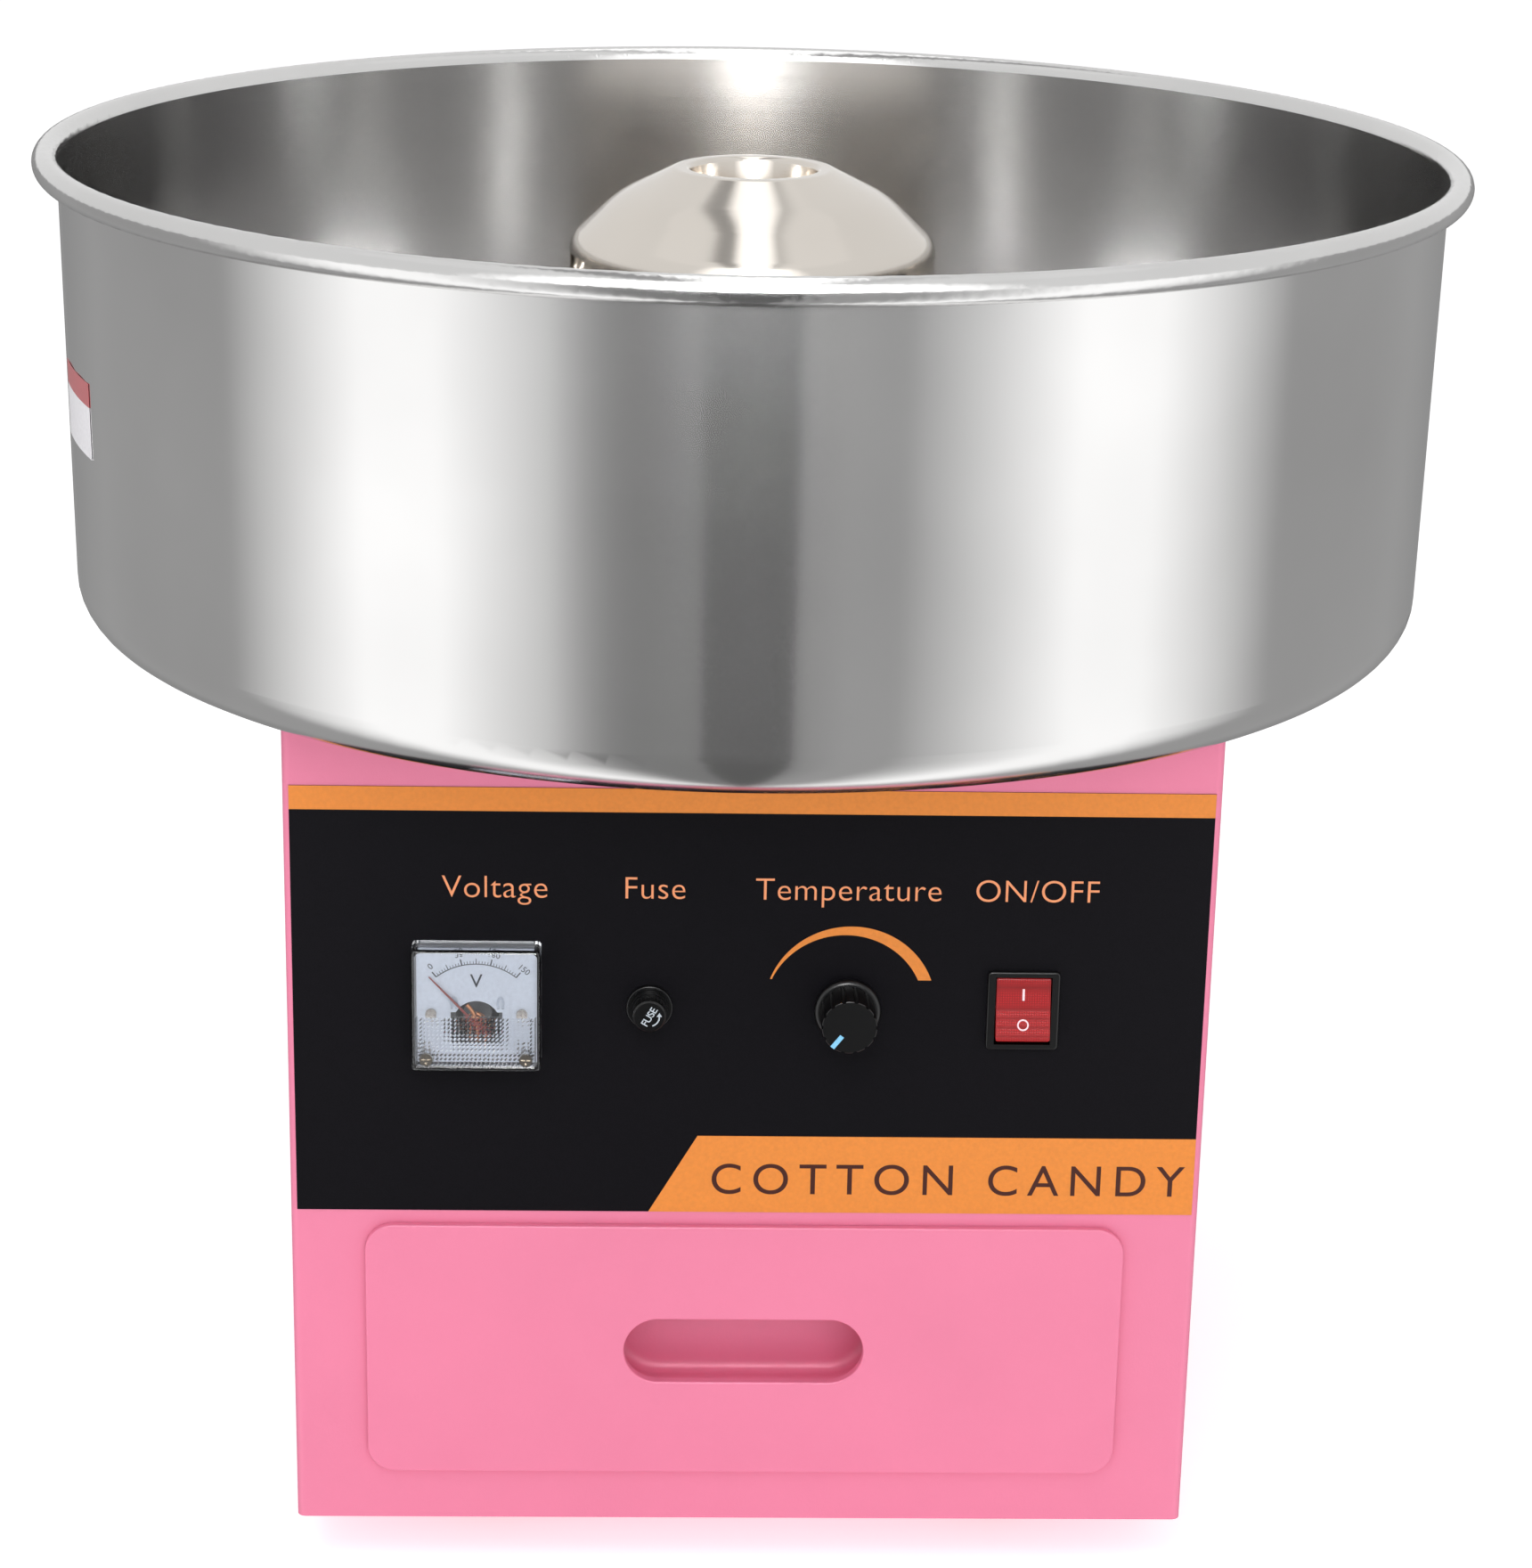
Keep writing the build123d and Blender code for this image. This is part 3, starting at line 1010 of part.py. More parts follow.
CONE_TOP_R, CONE_TOP_Z = 29.0, 490.0
CONE_MID_R, CONE_MID_Z = 50.0, 479.5  # the slope steepens below this ring
SHOULDER_Z, SKIRT_LOW = 464.0, 442.6
FUNNEL_LOW_R, FUNNEL_TOP_R, FUNNEL_LOW = 20.5, 24.0, 468.0
NOTCH_W, NOTCH_TOP = 20.0, 460.0
NOTCH_ANGLES = (-44.0, 76.0, 196.0)
with BuildPart() as head_cover:
    with BuildSketch(Plane.XZ):
        with BuildLine():
            FilletPolyline(
                (FUNNEL_LOW_R, FUNNEL_LOW),
                (FUNNEL_TOP_R, CONE_TOP_Z),
                (CONE_TOP_R, CONE_TOP_Z),
                (CONE_MID_R, CONE_MID_Z),
                (SKIRT_R, SHOULDER_Z),
                (SKIRT_R, SKIRT_LOW),
                radius=[1.4, 3.0, 40.0, 9.0],
            )
        trace(line_width=HEAD_T)
    revolve(axis=Axis.Z)
    for angle in NOTCH_ANGLES:
        with BuildSketch(Plane.XY.offset(SKIRT_LOW - 1)):
            with PolarLocations(HEAD_R, 1, start_angle=angle):
                Rectangle(16, NOTCH_W)
        extrude(amount=NOTCH_TOP - SKIRT_LOW + 1, mode=Mode.SUBTRACT)
save(head_cover, "head_cover")

BAND_R, BAND_T, BAND_LOW, BAND_HIGH = 61.6, 0.6, 437.9, 460.0
BAND_SLOTS, BAND_SLOT_W, BAND_SLOT_H = 40, 2.2, 13.0
with BuildPart() as floss_band:
    add(ring_part(BAND_R - BAND_T, BAND_R, BAND_LOW, BAND_HIGH).part)
    with BuildSketch(Plane.XY.offset(BAND_LOW + 5.1)):
        with PolarLocations(BAND_R, BAND_SLOTS):
            Rectangle(4, BAND_SLOT_W)
    extrude(amount=BAND_SLOT_H, mode=Mode.SUBTRACT)
save(floss_band, "floss_band")

with BuildPart() as heater_element:
    with BuildSketch(Plane.XZ.rotated((0, 0, LEG_ANGLES[1]))):
        with Locations((HEATER_R, HEATER_Z)):
            Circle(HEATER_TUBE_R)
    revolve(axis=Axis.Z, revolution_arc=360 - HEATER_GAP)
    for angle in LEG_ANGLES:
        with BuildSketch(Plane.XY.offset(PAN_Z - 6)):
            with PolarLocations(HEATER_R, 1, start_angle=angle):
                Circle(LEG_R)
        extrude(amount=HEATER_Z - PAN_Z + 6)
save(heater_element, "heater_element")

POST_ANGLES = (0.0, 180.0, 270.0)
with BuildPart() as heater_insulators:
    # ceramic posts under the heater and bushes around its legs
    for angle in POST_ANGLES:
        with BuildSketch(Plane.XY.offset(PAN_Z + HEAD_T / 2)):
            with PolarLocations(HEATER_R, 1, start_angle=angle):
                Circle(3.2)
        extrude(amount=HEATER_Z - HEATER_TUBE_R - PAN_Z - HEAD_T / 2)
    for angle in LEG_ANGLES:
        with BuildSketch(Plane.XY.offset(PAN_Z - 3)):
            with PolarLocations(HEATER_R, 1, start_angle=angle):
                Circle(BUSH_R)
                Circle(LEG_R, mode=Mode.SUBTRACT)
        extrude(amount=8)
save(heater_insulators, "heater_insulators")

with BuildPart() as head_studs:
    # studs welded inside the cover, with nuts under the pan
    for angle in STUD_ANGLES:
        with BuildSketch(Plane.XY.offset(PAN_Z - 5)):
            with PolarLocations(STUD_CIRCLE, 1, start_angle=angle):
                Circle(STUD_R)
        extrude(amount=STUD_TOP - PAN_Z + 5)
        with BuildSketch(Plane.XY.offset(PAN_Z - 4)):
            with PolarLocations(STUD_CIRCLE, 1, start_angle=angle):
                RegularPolygon(4.0, 6)
        extrude(amount=3)
    add(head_cover.part, mode=Mode.SUBTRACT)
    add(head_pan.part, mode=Mode.SUBTRACT)
save(head_studs, "head_studs")

with BuildPart() as spindle_nut:
    with BuildSketch(Plane.XY.offset(HUB_HIGH)):
        RegularPolygon(9.5, 6)
    extrude(amount=8)
    with BuildSketch(Plane.XZ):
        with BuildLine():
            Line((0, HUB_HIGH + 8), (0, HUB_HIGH + 15))
            ThreePointArc((0, HUB_HIGH + 15), (5.6, HUB_HIGH + 12.8), (8, HUB_HIGH + 8))
            Line((8, HUB_HIGH + 8), (0, HUB_HIGH + 8))
        make_face()
    revolve(axis=Axis.Z)
    with BuildSketch(Plane.XY.offset(HUB_HIGH)):
        Circle(SHAFT_R)
    extrude(amount=SHAFT_TOP - HUB_HIGH, mode=Mode.SUBTRACT)
save(spindle_nut, "spindle_nut")

with BuildPart() as heater_leads:
    # insulated leads from the slip rings to the heater legs
    for angle in LEG_ANGLES:
        leg_x = HEATER_R * math.cos(math.radians(angle))
        leg_y = HEATER_R * math.sin(math.radians(angle))
        start_x = math.copysign(8.0, leg_x)
        with BuildLine() as route:
            FilletPolyline(
                (start_x, 14.0, DRUM_HIGH),
                (start_x, 14.0, DRUM_HIGH + 6),
                (leg_x, leg_y - 4, PAN_Z - 9),
                (leg_x, leg_y, PAN_Z - 9),
                (leg_x, leg_y, PAN_Z - 6),
                radius=[3.0, 1.5, 1.2],
            )
        with BuildSketch(Plane(origin=route.line @ 0, z_dir=route.line % 0)):
            Circle(1.3)
        sweep(path=route.line)
save(heater_leads, "heater_leads")

# ---------------------------------------------------------------- bowl and what holds it
BOWL_LOW = CAB_TOP + SEAT_H
HOLE_R = 86.0
COLLAR_TOP = BOWL_LOW + 12.0
BEAD_R = 4.75
WALL_LOW_R = 249.3  # outer radius where the wall would meet the bottom
BOTTOM_FILLET = 16.0
half = BOWL_T / 2
bead_r = BEAD_R - half
bead_x, bead_z = BOWL_D / 2 - BEAD_R, TOTAL_H - BEAD_R
with BuildPart() as bowl:
    with BuildSketch(Plane.XZ):
        with BuildLine():
            FilletPolyline(
                (HOLE_R + half, COLLAR_TOP),
                (HOLE_R + half, BOWL_LOW + half),
                (WALL_LOW_R - half, BOWL_LOW + half),
                (bead_x - bead_r, bead_z),
                radius=[4.0, BOTTOM_FILLET - half],
            )
            CenterArc((bead_x, bead_z), bead_r, 180, -285)
        trace(line_width=BOWL_T)
    revolve(axis=Axis.Z)
save(bowl, "bowl")

with BuildPart() as bowl_seat:
    add(ring_part(HOLE_R + 2, HOLE_R + 14, CAB_TOP, BOWL_LOW - GAP).part)
save(bowl_seat, "bowl_seat")

CLIP_T, CLIP_W = 0.8, 16.0
CLIP_R = HOLE_R - 2.4  # the clip's upright, inside the collar
with BuildPart() as bowl_clips:
    for angle in (90, 210, 330):
        with BuildSketch(Plane.XZ.rotated((0, 0, angle))):
            with BuildLine():
                FilletPolyline(
                    (76.5, CAB_TOP + GUARD_T + CLIP_T / 2),
                    (CLIP_R, CAB_TOP + GUARD_T + CLIP_T / 2),
                    (CLIP_R, COLLAR_TOP - 5),
                    (CLIP_R + 0.8, COLLAR_TOP + 0.5),
                    (CLIP_R - 2.6, COLLAR_TOP + 7),
                    radius=[1.2, 1.5, 1.0],
                )
            trace(line_width=CLIP_T)
        extrude(amount=CLIP_W / 2, both=True)
save(bowl_clips, "bowl_clips")
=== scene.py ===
"""Looks of the table-top cotton candy machine, built around its CAD frame.

Units are metres in the frame's own axes: +Z up, the control panel faces -Y, +X is to the right.
"""
import json
import math

import bmesh
import bpy
from mathutils import Matrix, Vector


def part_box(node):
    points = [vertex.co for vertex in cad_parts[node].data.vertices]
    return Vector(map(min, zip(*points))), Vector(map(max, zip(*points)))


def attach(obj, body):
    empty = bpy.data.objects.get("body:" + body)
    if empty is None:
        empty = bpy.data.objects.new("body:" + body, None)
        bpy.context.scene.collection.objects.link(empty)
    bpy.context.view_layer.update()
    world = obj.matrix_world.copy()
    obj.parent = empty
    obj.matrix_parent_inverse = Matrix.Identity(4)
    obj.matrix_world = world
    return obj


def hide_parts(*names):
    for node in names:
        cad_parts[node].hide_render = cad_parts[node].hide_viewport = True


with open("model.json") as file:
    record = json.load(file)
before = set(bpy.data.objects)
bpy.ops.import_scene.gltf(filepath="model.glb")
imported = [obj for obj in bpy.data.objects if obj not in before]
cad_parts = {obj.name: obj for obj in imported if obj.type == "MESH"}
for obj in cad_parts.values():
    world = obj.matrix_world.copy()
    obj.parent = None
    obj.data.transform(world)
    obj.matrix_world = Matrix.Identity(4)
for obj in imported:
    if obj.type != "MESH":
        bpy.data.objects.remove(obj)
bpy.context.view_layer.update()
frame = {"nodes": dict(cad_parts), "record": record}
nodes = frame["nodes"]
MM = 0.001
scene = bpy.context.scene
scene.view_settings.view_transform = "Standard"

# ---------------------------------------------------------------- camera
CAMERA_AT = Vector((-0.0366, -1.3914, 0.7203))
CAMERA_YAW, CAMERA_PITCH, CAMERA_ROLL = (math.radians(a) for a in (1.88, 18.58, 1.18))
LENS_MM = 87.3


def make_camera():
    """A camera at the front, looking down on the machine."""
    forward = Vector(
        (
            math.sin(CAMERA_YAW) * math.cos(CAMERA_PITCH),
            math.cos(CAMERA_YAW) * math.cos(CAMERA_PITCH),
            -math.sin(CAMERA_PITCH),
        )
    )
    level = Vector((math.cos(CAMERA_YAW), -math.sin(CAMERA_YAW), 0))
    above = level.cross(forward)
    right = level * math.cos(CAMERA_ROLL) + above * math.sin(CAMERA_ROLL)
    up = above * math.cos(CAMERA_ROLL) - level * math.sin(CAMERA_ROLL)
    data = bpy.data.cameras.new("camera")
    data.lens = LENS_MM
    data.sensor_width = 36
    camera = bpy.data.objects.new("camera", data)
    scene.collection.objects.link(camera)
    turn = Matrix((right, up, -forward)).transposed()
    camera.matrix_world = Matrix.Translation(CAMERA_AT) @ turn.to_4x4()
    scene.camera = camera


make_camera()


# ---------------------------------------------------------------- node helpers
def linear(red, green, blue):
    """An RGBA colour from 0-255 display values."""
    return tuple((v / 255) ** 2.2 for v in (red, green, blue)) + (1.0,)


class Paint:
    """One procedural material, built up a node at a time."""

    def __init__(self, name, colour, roughness, metallic=0.0):
        self.material = bpy.data.materials.new(name)
        self.material.use_nodes = True
        self.tree = self.material.node_tree
        self.shader = self.tree.nodes["Principled BSDF"]
        self.shader.inputs["Base Color"].default_value = colour
        self.shader.inputs["Roughness"].default_value = roughness
        self.shader.inputs["Metallic"].default_value = metallic
        self.colour = colour
        self.height = None
        place = self.node("ShaderNodeTexCoord")
        self.place = place.outputs["Object"]

    def node(self, kind, **values):
        made = self.tree.nodes.new(kind)
        for key, value in values.items():
            setattr(made, key, value)
        return made

    def join(self, source, target):
        self.tree.links.new(source, target)

    def set(self, **values):
        """Plain numbers or colours for the shader's own sockets, by name with _ for spaces."""
        for key, value in values.items():
            self.shader.inputs[key.replace("_", " ")].default_value = value
        return self

    def stretched(self, x, y, z):
        """Object coordinates with each axis scaled."""
        mapping = self.node("ShaderNodeMapping")
        mapping.inputs["Scale"].default_value = (x, y, z)
        self.join(self.place, mapping.inputs["Vector"])
        return mapping.outputs["Vector"]

    def noise(self, scale, detail=3.0, rough=0.5, where=None):
        """Noise at so many cells a metre."""
        made = self.node("ShaderNodeTexNoise")
        made.inputs["Scale"].default_value = scale
        made.inputs["Detail"].default_value = detail
        made.inputs["Roughness"].default_value = rough
        self.join(where or self.place, made.inputs["Vector"])
        return made.outputs["Fac"]

    def cells(self, scale):
        """Distance to the nearest of scattered points, so many a metre."""
        made = self.node("ShaderNodeTexVoronoi")
        made.inputs["Scale"].default_value = scale
        self.join(self.place, made.inputs["Vector"])
        return made.outputs["Distance"]

    def ramp(self, value, stops):
        """A colour ramp through stops of (position, colour or grey)."""
        made = self.node("ShaderNodeValToRGB")
        band = made.color_ramp
        while len(band.elements) < len(stops):
            band.elements.new(0.5)
        for element, (at, shade) in zip(band.elements, stops):
            element.position = at
            element.color = shade if isinstance(shade, tuple) else (shade, shade, shade, 1)
        self.join(value, made.inputs["Fac"])
        return made.outputs["Color"]

    def spread(self, value, low, high):
        """A 0-1 value as a number from low to high."""
        made = self.node("ShaderNodeMapRange")
        made.inputs["To Min"].default_value = low
        made.inputs["To Max"].default_value = high
        self.join(value, made.inputs["Value"])
        return made.outputs["Result"]

    def mottle(self, scale, amount):
        """Base colour that wanders a little lighter and darker."""
        fac = self.noise(scale)
        shades = [tuple(min(1, c * k) for c in self.colour[:3]) + (1.0,) for k in (1 - amount, 1 + amount)]
        self.join(self.ramp(fac, [(0.3, shades[0]), (0.7, shades[1])]), self.shader.inputs["Base Color"])
        return self

    def gloss(self, scale, low, high):
        """Roughness that wanders between two values."""
        fac = self.noise(scale)
        self.join(self.spread(fac, low, high), self.shader.inputs["Roughness"])
        return self

    def bump(self, value, depth):
        """A bump of so many metres, over any earlier one."""
        made = self.node("ShaderNodeBump")
        made.inputs["Distance"].default_value = depth
        self.join(value, made.inputs["Height"])
        if self.height is not None:
            self.join(self.height, made.inputs["Normal"])
        self.height = made.outputs["Normal"]
        self.join(self.height, self.shader.inputs["Normal"])
        return self


# ---------------------------------------------------------------- materials
def powder_coat(name, colour):
    """Satin powder coat: a fine orange peel and a finer grain."""
    paint = Paint(name, colour, 0.42)
    paint.mottle(14, 0.025)
    paint.gloss(60, 0.36, 0.5)
    paint.bump(paint.noise(900, 2), 0.00006)
    paint.bump(paint.noise(3200, 2), 0.00003)
    return paint.set(Coat_Weight=0.15, Coat_Roughness=0.25).material


def printed_film(name, colour):
    """Matt printed overlay film with a fine grain."""
    paint = Paint(name, colour, 0.5)
    grain = paint.noise(2600, 2, 0.7)
    shades = [tuple(c * k for c in colour[:3]) + (1.0,) for k in (0.72, 1.3)]
    paint.join(paint.ramp(grain, [(0.3, shades[0]), (0.7, shades[1])]), paint.shader.inputs["Base Color"])
    paint.bump(grain, 0.00004)
    return paint.set(Specular_IOR_Level=0.12).material


def ink(name, colour, roughness=0.5):
    """Screen-printing ink, with slightly uneven cover."""
    paint = Paint(name, colour, roughness)
    paint.mottle(700, 0.05)
    paint.bump(paint.noise(2600, 2), 0.00002)
    return paint.material


def spun_steel(name, colour, low, high):
    """Spun stainless: fine rings round the axis and long faint streaks of uneven polish."""
    paint = Paint(name, colour, low, 1.0)
    rings = paint.noise(1, 4, 0.6, paint.stretched(3, 3, 2400))
    fine = paint.noise(1, 3, 0.5, paint.stretched(30, 30, 6000))
    paint.join(paint.spread(rings, low, high), paint.shader.inputs["Roughness"])
    cloud = paint.noise(9, 3)
    shades = [tuple(c * k for c in colour[:3]) + (1.0,) for k in (0.94, 1.04)]
    paint.join(paint.ramp(cloud, [(0.3, shades[0]), (0.7, shades[1])]), paint.shader.inputs["Base Color"])
    paint.bump(fine, 0.000002)
    paint.set(Anisotropic=0.8, Anisotropic_Rotation=0.25)
    tangent = paint.node("ShaderNodeTangent", direction_type="RADIAL", axis="Z")
    paint.join(tangent.outputs["Tangent"], paint.shader.inputs["Tangent"])
    return paint.material


def sheet_metal(name, colour, low, high, across=(40, 40, 1500)):
    """Plated or ground metal with a directional grain."""
    paint = Paint(name, colour, low, 1.0)
    grain = paint.noise(1, 3, 0.6, paint.stretched(*across))
    paint.join(paint.spread(grain, low, high), paint.shader.inputs["Roughness"])
    paint.mottle(30, 0.06)
    paint.bump(grain, 0.00001)
    return paint.material


def cast_metal(name, colour, roughness):
    """Sand-textured castings."""
    paint = Paint(name, colour, roughness, 1.0)
    paint.mottle(90, 0.08)
    paint.bump(paint.noise(1200, 3), 0.00008)
    return paint.material


def moulded(name, colour, roughness, grain=1800, depth=0.00002):
    """Injection-moulded plastic with a light spark texture."""
    paint = Paint(name, colour, roughness)
    paint.mottle(120, 0.06)
    paint.gloss(300, roughness * 0.85, roughness * 1.15)
    paint.bump(paint.noise(grain, 2), depth)
    return paint.material


def rubber(name):
    """Black rubber with a faint bloom."""
    paint = Paint(name, linear(38, 37, 38), 0.75)
    paint.mottle(160, 0.2)
    paint.bump(paint.cells(1400), 0.00005)
    return paint.material


def clear_acrylic(name):
    """Clear acrylic with a faint cool tint."""
    paint = Paint(name, (0.93, 0.95, 0.98, 1), 0.03)
    paint.gloss(90, 0.02, 0.06)
    return paint.set(Transmission_Weight=1.0, IOR=1.49).material


def translucent_red(name):
    """Red rocker plastic: a woven texture of darker dots under a thin gloss."""
    paint = Paint(name, linear(170, 26, 34), 0.3)
    wave = paint.node("ShaderNodeTexVoronoi", distance="CHEBYCHEV")
    wave.inputs["Scale"].default_value = 1
    wave.inputs["Randomness"].default_value = 0
    paint.join(paint.stretched(1150, 1150, 1150), wave.inputs["Vector"])
    shades = [linear(188, 20, 28), linear(112, 6, 12)]
    dots = paint.ramp(wave.outputs["Distance"], [(0.15, shades[0]), (0.6, shades[1])])
    paint.join(dots, paint.shader.inputs["Base Color"])
    paint.bump(wave.outputs["Distance"], -0.00012)
    return paint.set(Coat_Weight=0.2, Coat_Roughness=0.12).material


PINK = linear(224, 120, 152)
looks = {
    "pink_enamel": powder_coat("pink_powder_coat", PINK),
    "galvanised_steel": sheet_metal("zinc_plate", linear(176, 180, 184), 0.3, 0.5, (60, 60, 60)),
    "stainless_bowl": spun_steel("spun_stainless", (0.72, 0.715, 0.71, 1), 0.12, 0.17),
    "stainless_head": spun_steel("spun_head", (0.76, 0.71, 0.65, 1), 0.12, 0.18),
    "bright_fasteners": sheet_metal("nickel_plate", (0.5, 0.46, 0.41, 1), 0.15, 0.3, (900, 900, 900)),
    "spring_steel": sheet_metal("spring_steel", (0.6, 0.6, 0.62, 1), 0.2, 0.32),
    "black_rubber": rubber("black_rubber"),
    "overlay_film": printed_film("overlay_black", linear(19, 18, 22)),
    "meter_body": moulded("meter_body_white", linear(226, 227, 230), 0.4),
    "meter_window": clear_acrylic("clear_acrylic"),
    "meter_dial": ink("dial_white", linear(232, 238, 248), 0.55),
    "meter_metal": cast_metal("dark_iron", (0.16, 0.16, 0.16, 1), 0.45),
    "pointer_red": ink("pointer_red_brown", linear(150, 66, 58), 0.4),
    "brass": sheet_metal("brass", (0.72, 0.5, 0.2, 1), 0.2, 0.35),
    "black_plastic": moulded("black_plastic", linear(13, 13, 15), 0.3),
    "pot_metal": sheet_metal("pot_metal", (0.5, 0.5, 0.5, 1), 0.3, 0.45),
    "rocker_red": translucent_red("rocker_red"),
    "fuse_glass": clear_acrylic("fuse_glass"),
    "board_green": moulded("board_green", linear(40, 110, 70), 0.45),
    "cast_aluminium": cast_metal("cast_aluminium", (0.62, 0.62, 0.63, 1), 0.45),
    "motor_paint": powder_coat("motor_grey", linear(70, 74, 80)),
    "bearing_steel": sheet_metal("ground_steel", (0.6, 0.6, 0.6, 1), 0.15, 0.28),
    "copper": sheet_metal("enamelled_copper", (0.7, 0.3, 0.14, 1), 0.25, 0.4, (900, 900, 900)),
    "carbon": moulded("graphite", linear(48, 48, 50), 0.6),
    "heater_sheath": sheet_metal("heater_sheath", (0.24, 0.21, 0.19, 1), 0.4, 0.6, (300, 300, 300)),
    "ceramic": moulded("ceramic", linear(232, 226, 212), 0.35),
    "lead_sleeve": moulded("glass_fibre_sleeve", linear(222, 216, 200), 0.85, 3000, 0.0001),
}
orange_ink = ink("orange_ink", linear(218, 127, 40))
label_ink = ink("label_ink", linear(230, 144, 96))
brown_ink = ink("brown_ink", linear(66, 24, 10))
dial_ink = ink("dial_ink", linear(40, 48, 56))
blue_ink = ink("blue_ink", linear(122, 192, 230))
cap_ink = ink("cap_ink", linear(176, 186, 194))
mark_ink = ink("mark_ink", linear(255, 214, 222))
sticker_white = ink("sticker_white", linear(232, 230, 234), 0.35)
sticker_red = ink("sticker_red", linear(186, 96, 100), 0.35)


def paint_cad_nodes():
    """Gives each CAD node the look of its record slot."""
    for row in frame["record"]["subparts"]:
        node = nodes[row["node"]]
        node.data.materials.clear()
        node.data.materials.append(looks[row["material_slot"]])


paint_cad_nodes()


# ---------------------------------------------------------------- piece helpers, drawn in millimetres
PRINT_T = 0.06  # thickness of a printed layer
FACING_FRONT = Matrix.Rotation(math.radians(90), 4, "X")  # x stays, y becomes up, z comes towards -Y


def add_piece(name, mesh, body, look):
    """Links a finished mesh, drawn in metres, as a piece that rides on a body."""
    piece = bpy.data.objects.new(name, mesh)
    scene.collection.objects.link(piece)
    mesh.materials.clear()
    mesh.materials.append(look)
    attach(piece, body)
    return piece


def mesh_of(curve):
    """The mesh of a curve or text, which isn't kept."""
    maker = bpy.data.objects.new("maker", curve)
    mesh = bpy.data.meshes.new_from_object(maker)
    bpy.data.objects.remove(maker)
    return mesh


def flat_shape(loops, thickness=PRINT_T):
    """A flat sheet filled between closed loops of x, y points."""
    curve = bpy.data.curves.new("flat_shape", "CURVE")
    curve.dimensions = "2D"
    curve.fill_mode = "BOTH"
    curve.extrude = thickness / 2
    for loop in loops:
        spline = curve.splines.new("POLY")
        spline.points.add(len(loop) - 1)
        for point, (x, y) in zip(spline.points, loop):
            point.co = (x, y, 0, 1)
        spline.use_cyclic_u = True
    return mesh_of(curve)


def text_curve(words, size):
    """Words in the built-in font, centred on the origin."""
    curve = bpy.data.curves.new("lettering", "FONT")
    curve.body = words
    curve.size = size
    curve.align_x = "CENTER"
    return curve


def capital_height():
    """How tall a capital is in the built-in font, for a size of 1."""
    mesh = mesh_of(text_curve("H", 1.0))
    return max(v.co.y for v in mesh.vertices)


CAPITAL = capital_height()


def lettering(words, height, spacing=1.0, weight=0.0):
    """Plain lettering with capitals of a height, centred, standing on its base line."""
    curve = text_curve(words, height / CAPITAL)
    curve.space_character = spacing
    curve.offset = weight
    curve.extrude = PRINT_T / 2
    return mesh_of(curve)


def merged(name, meshes):
    """One mesh made of several."""
    built = bmesh.new()
    for mesh in meshes:
        built.from_mesh(mesh)
    whole = bpy.data.meshes.new(name)
    built.to_mesh(whole)
    built.free()
    return whole


def arc(centre, radius, start, stop, steps=48):
    """Points along an arc, in degrees anticlockwise from +x."""
    turns = [math.radians(start + (stop - start) * i / steps) for i in range(steps + 1)]
    return [(centre[0] + radius * math.cos(t), centre[1] + radius * math.sin(t)) for t in turns]


def on_front(mesh, x, depth, z, turn=0.0):
    """Stands a flat mesh up facing the front at x, z, its middle so far in front of the bowl's axis."""
    place = Matrix.Translation(Vector((x, -depth, z)) * MM) @ FACING_FRONT
    mesh.transform(place @ Matrix.Rotation(turn, 4, "Z") @ Matrix.Scale(MM, 4))
    return mesh


def front_of(node):
    """How far a node's front stands before the bowl's axis, in millimetres."""
    return -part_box(node)[0][1] / MM


def middle_of(node):
    """The x and z of a node's middle, in millimetres."""
    low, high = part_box(node)
    return (low[0] + high[0]) / 2 / MM, (low[2] + high[2]) / 2 / MM


# ---------------------------------------------------------------- printing on the panel
decal_low, decal_high = (tuple(c / MM for c in corner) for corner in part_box("control_decal"))
FILM = front_of("control_decal") + PRINT_T / 2
EDGE = decal_high[0]  # half width of the film
knob_x, knob_z = middle_of("control_knob")
STRIP_LOW = decal_high[2] - 8.6
BAND_HIGH = decal_low[2] + 29.5
BAND_TIP_TOP, BAND_TIP_LOW = -17.7, -34.9  # slanted left end of the lower band
BAND_TEXT_X, BAND_TEXT_Z = 71.5, decal_low[2] + 7.2
BAND_TEXT_H, BAND_TEXT_SPACING = 11.5, 1.35
LABEL_Z, LABEL_H, LABEL_SPACING, LABEL_WEIGHT = 262.0, 8.0, 1.04, -0.11
LABELS = (
    ("label_voltage", "Voltage", -89.0),
    ("label_fuse", "Fuse", -33.8),
    ("label_temperature", "Temperature", 33.6),
    ("label_on_off", "ON/OFF", 99.2),
)


def print_panel():
    """Orange strip and band, the labels and the words that say what the machine is."""
    strip = [(-EDGE, STRIP_LOW), (EDGE, STRIP_LOW), (EDGE, decal_high[2]), (-EDGE, decal_high[2])]
    band = [(BAND_TIP_LOW, decal_low[2]), (EDGE, decal_low[2]), (EDGE, BAND_HIGH), (BAND_TIP_TOP, BAND_HIGH)]
    for name, outline in (("orange_strip", strip), ("orange_band", band)):
        mesh = on_front(flat_shape([outline]), 0, FILM, 0)
        add_piece(name, mesh, "cabinet", orange_ink)
    for name, words, x in LABELS:
        mesh = on_front(lettering(words, LABEL_H, LABEL_SPACING, LABEL_WEIGHT), x, FILM, LABEL_Z)
        add_piece(name, mesh, "cabinet", label_ink)
    words = lettering("COTTON CANDY", BAND_TEXT_H, BAND_TEXT_SPACING)
    mesh = on_front(words, BAND_TEXT_X, FILM + PRINT_T, BAND_TEXT_Z)
    add_piece("band_words", mesh, "cabinet", brown_ink)


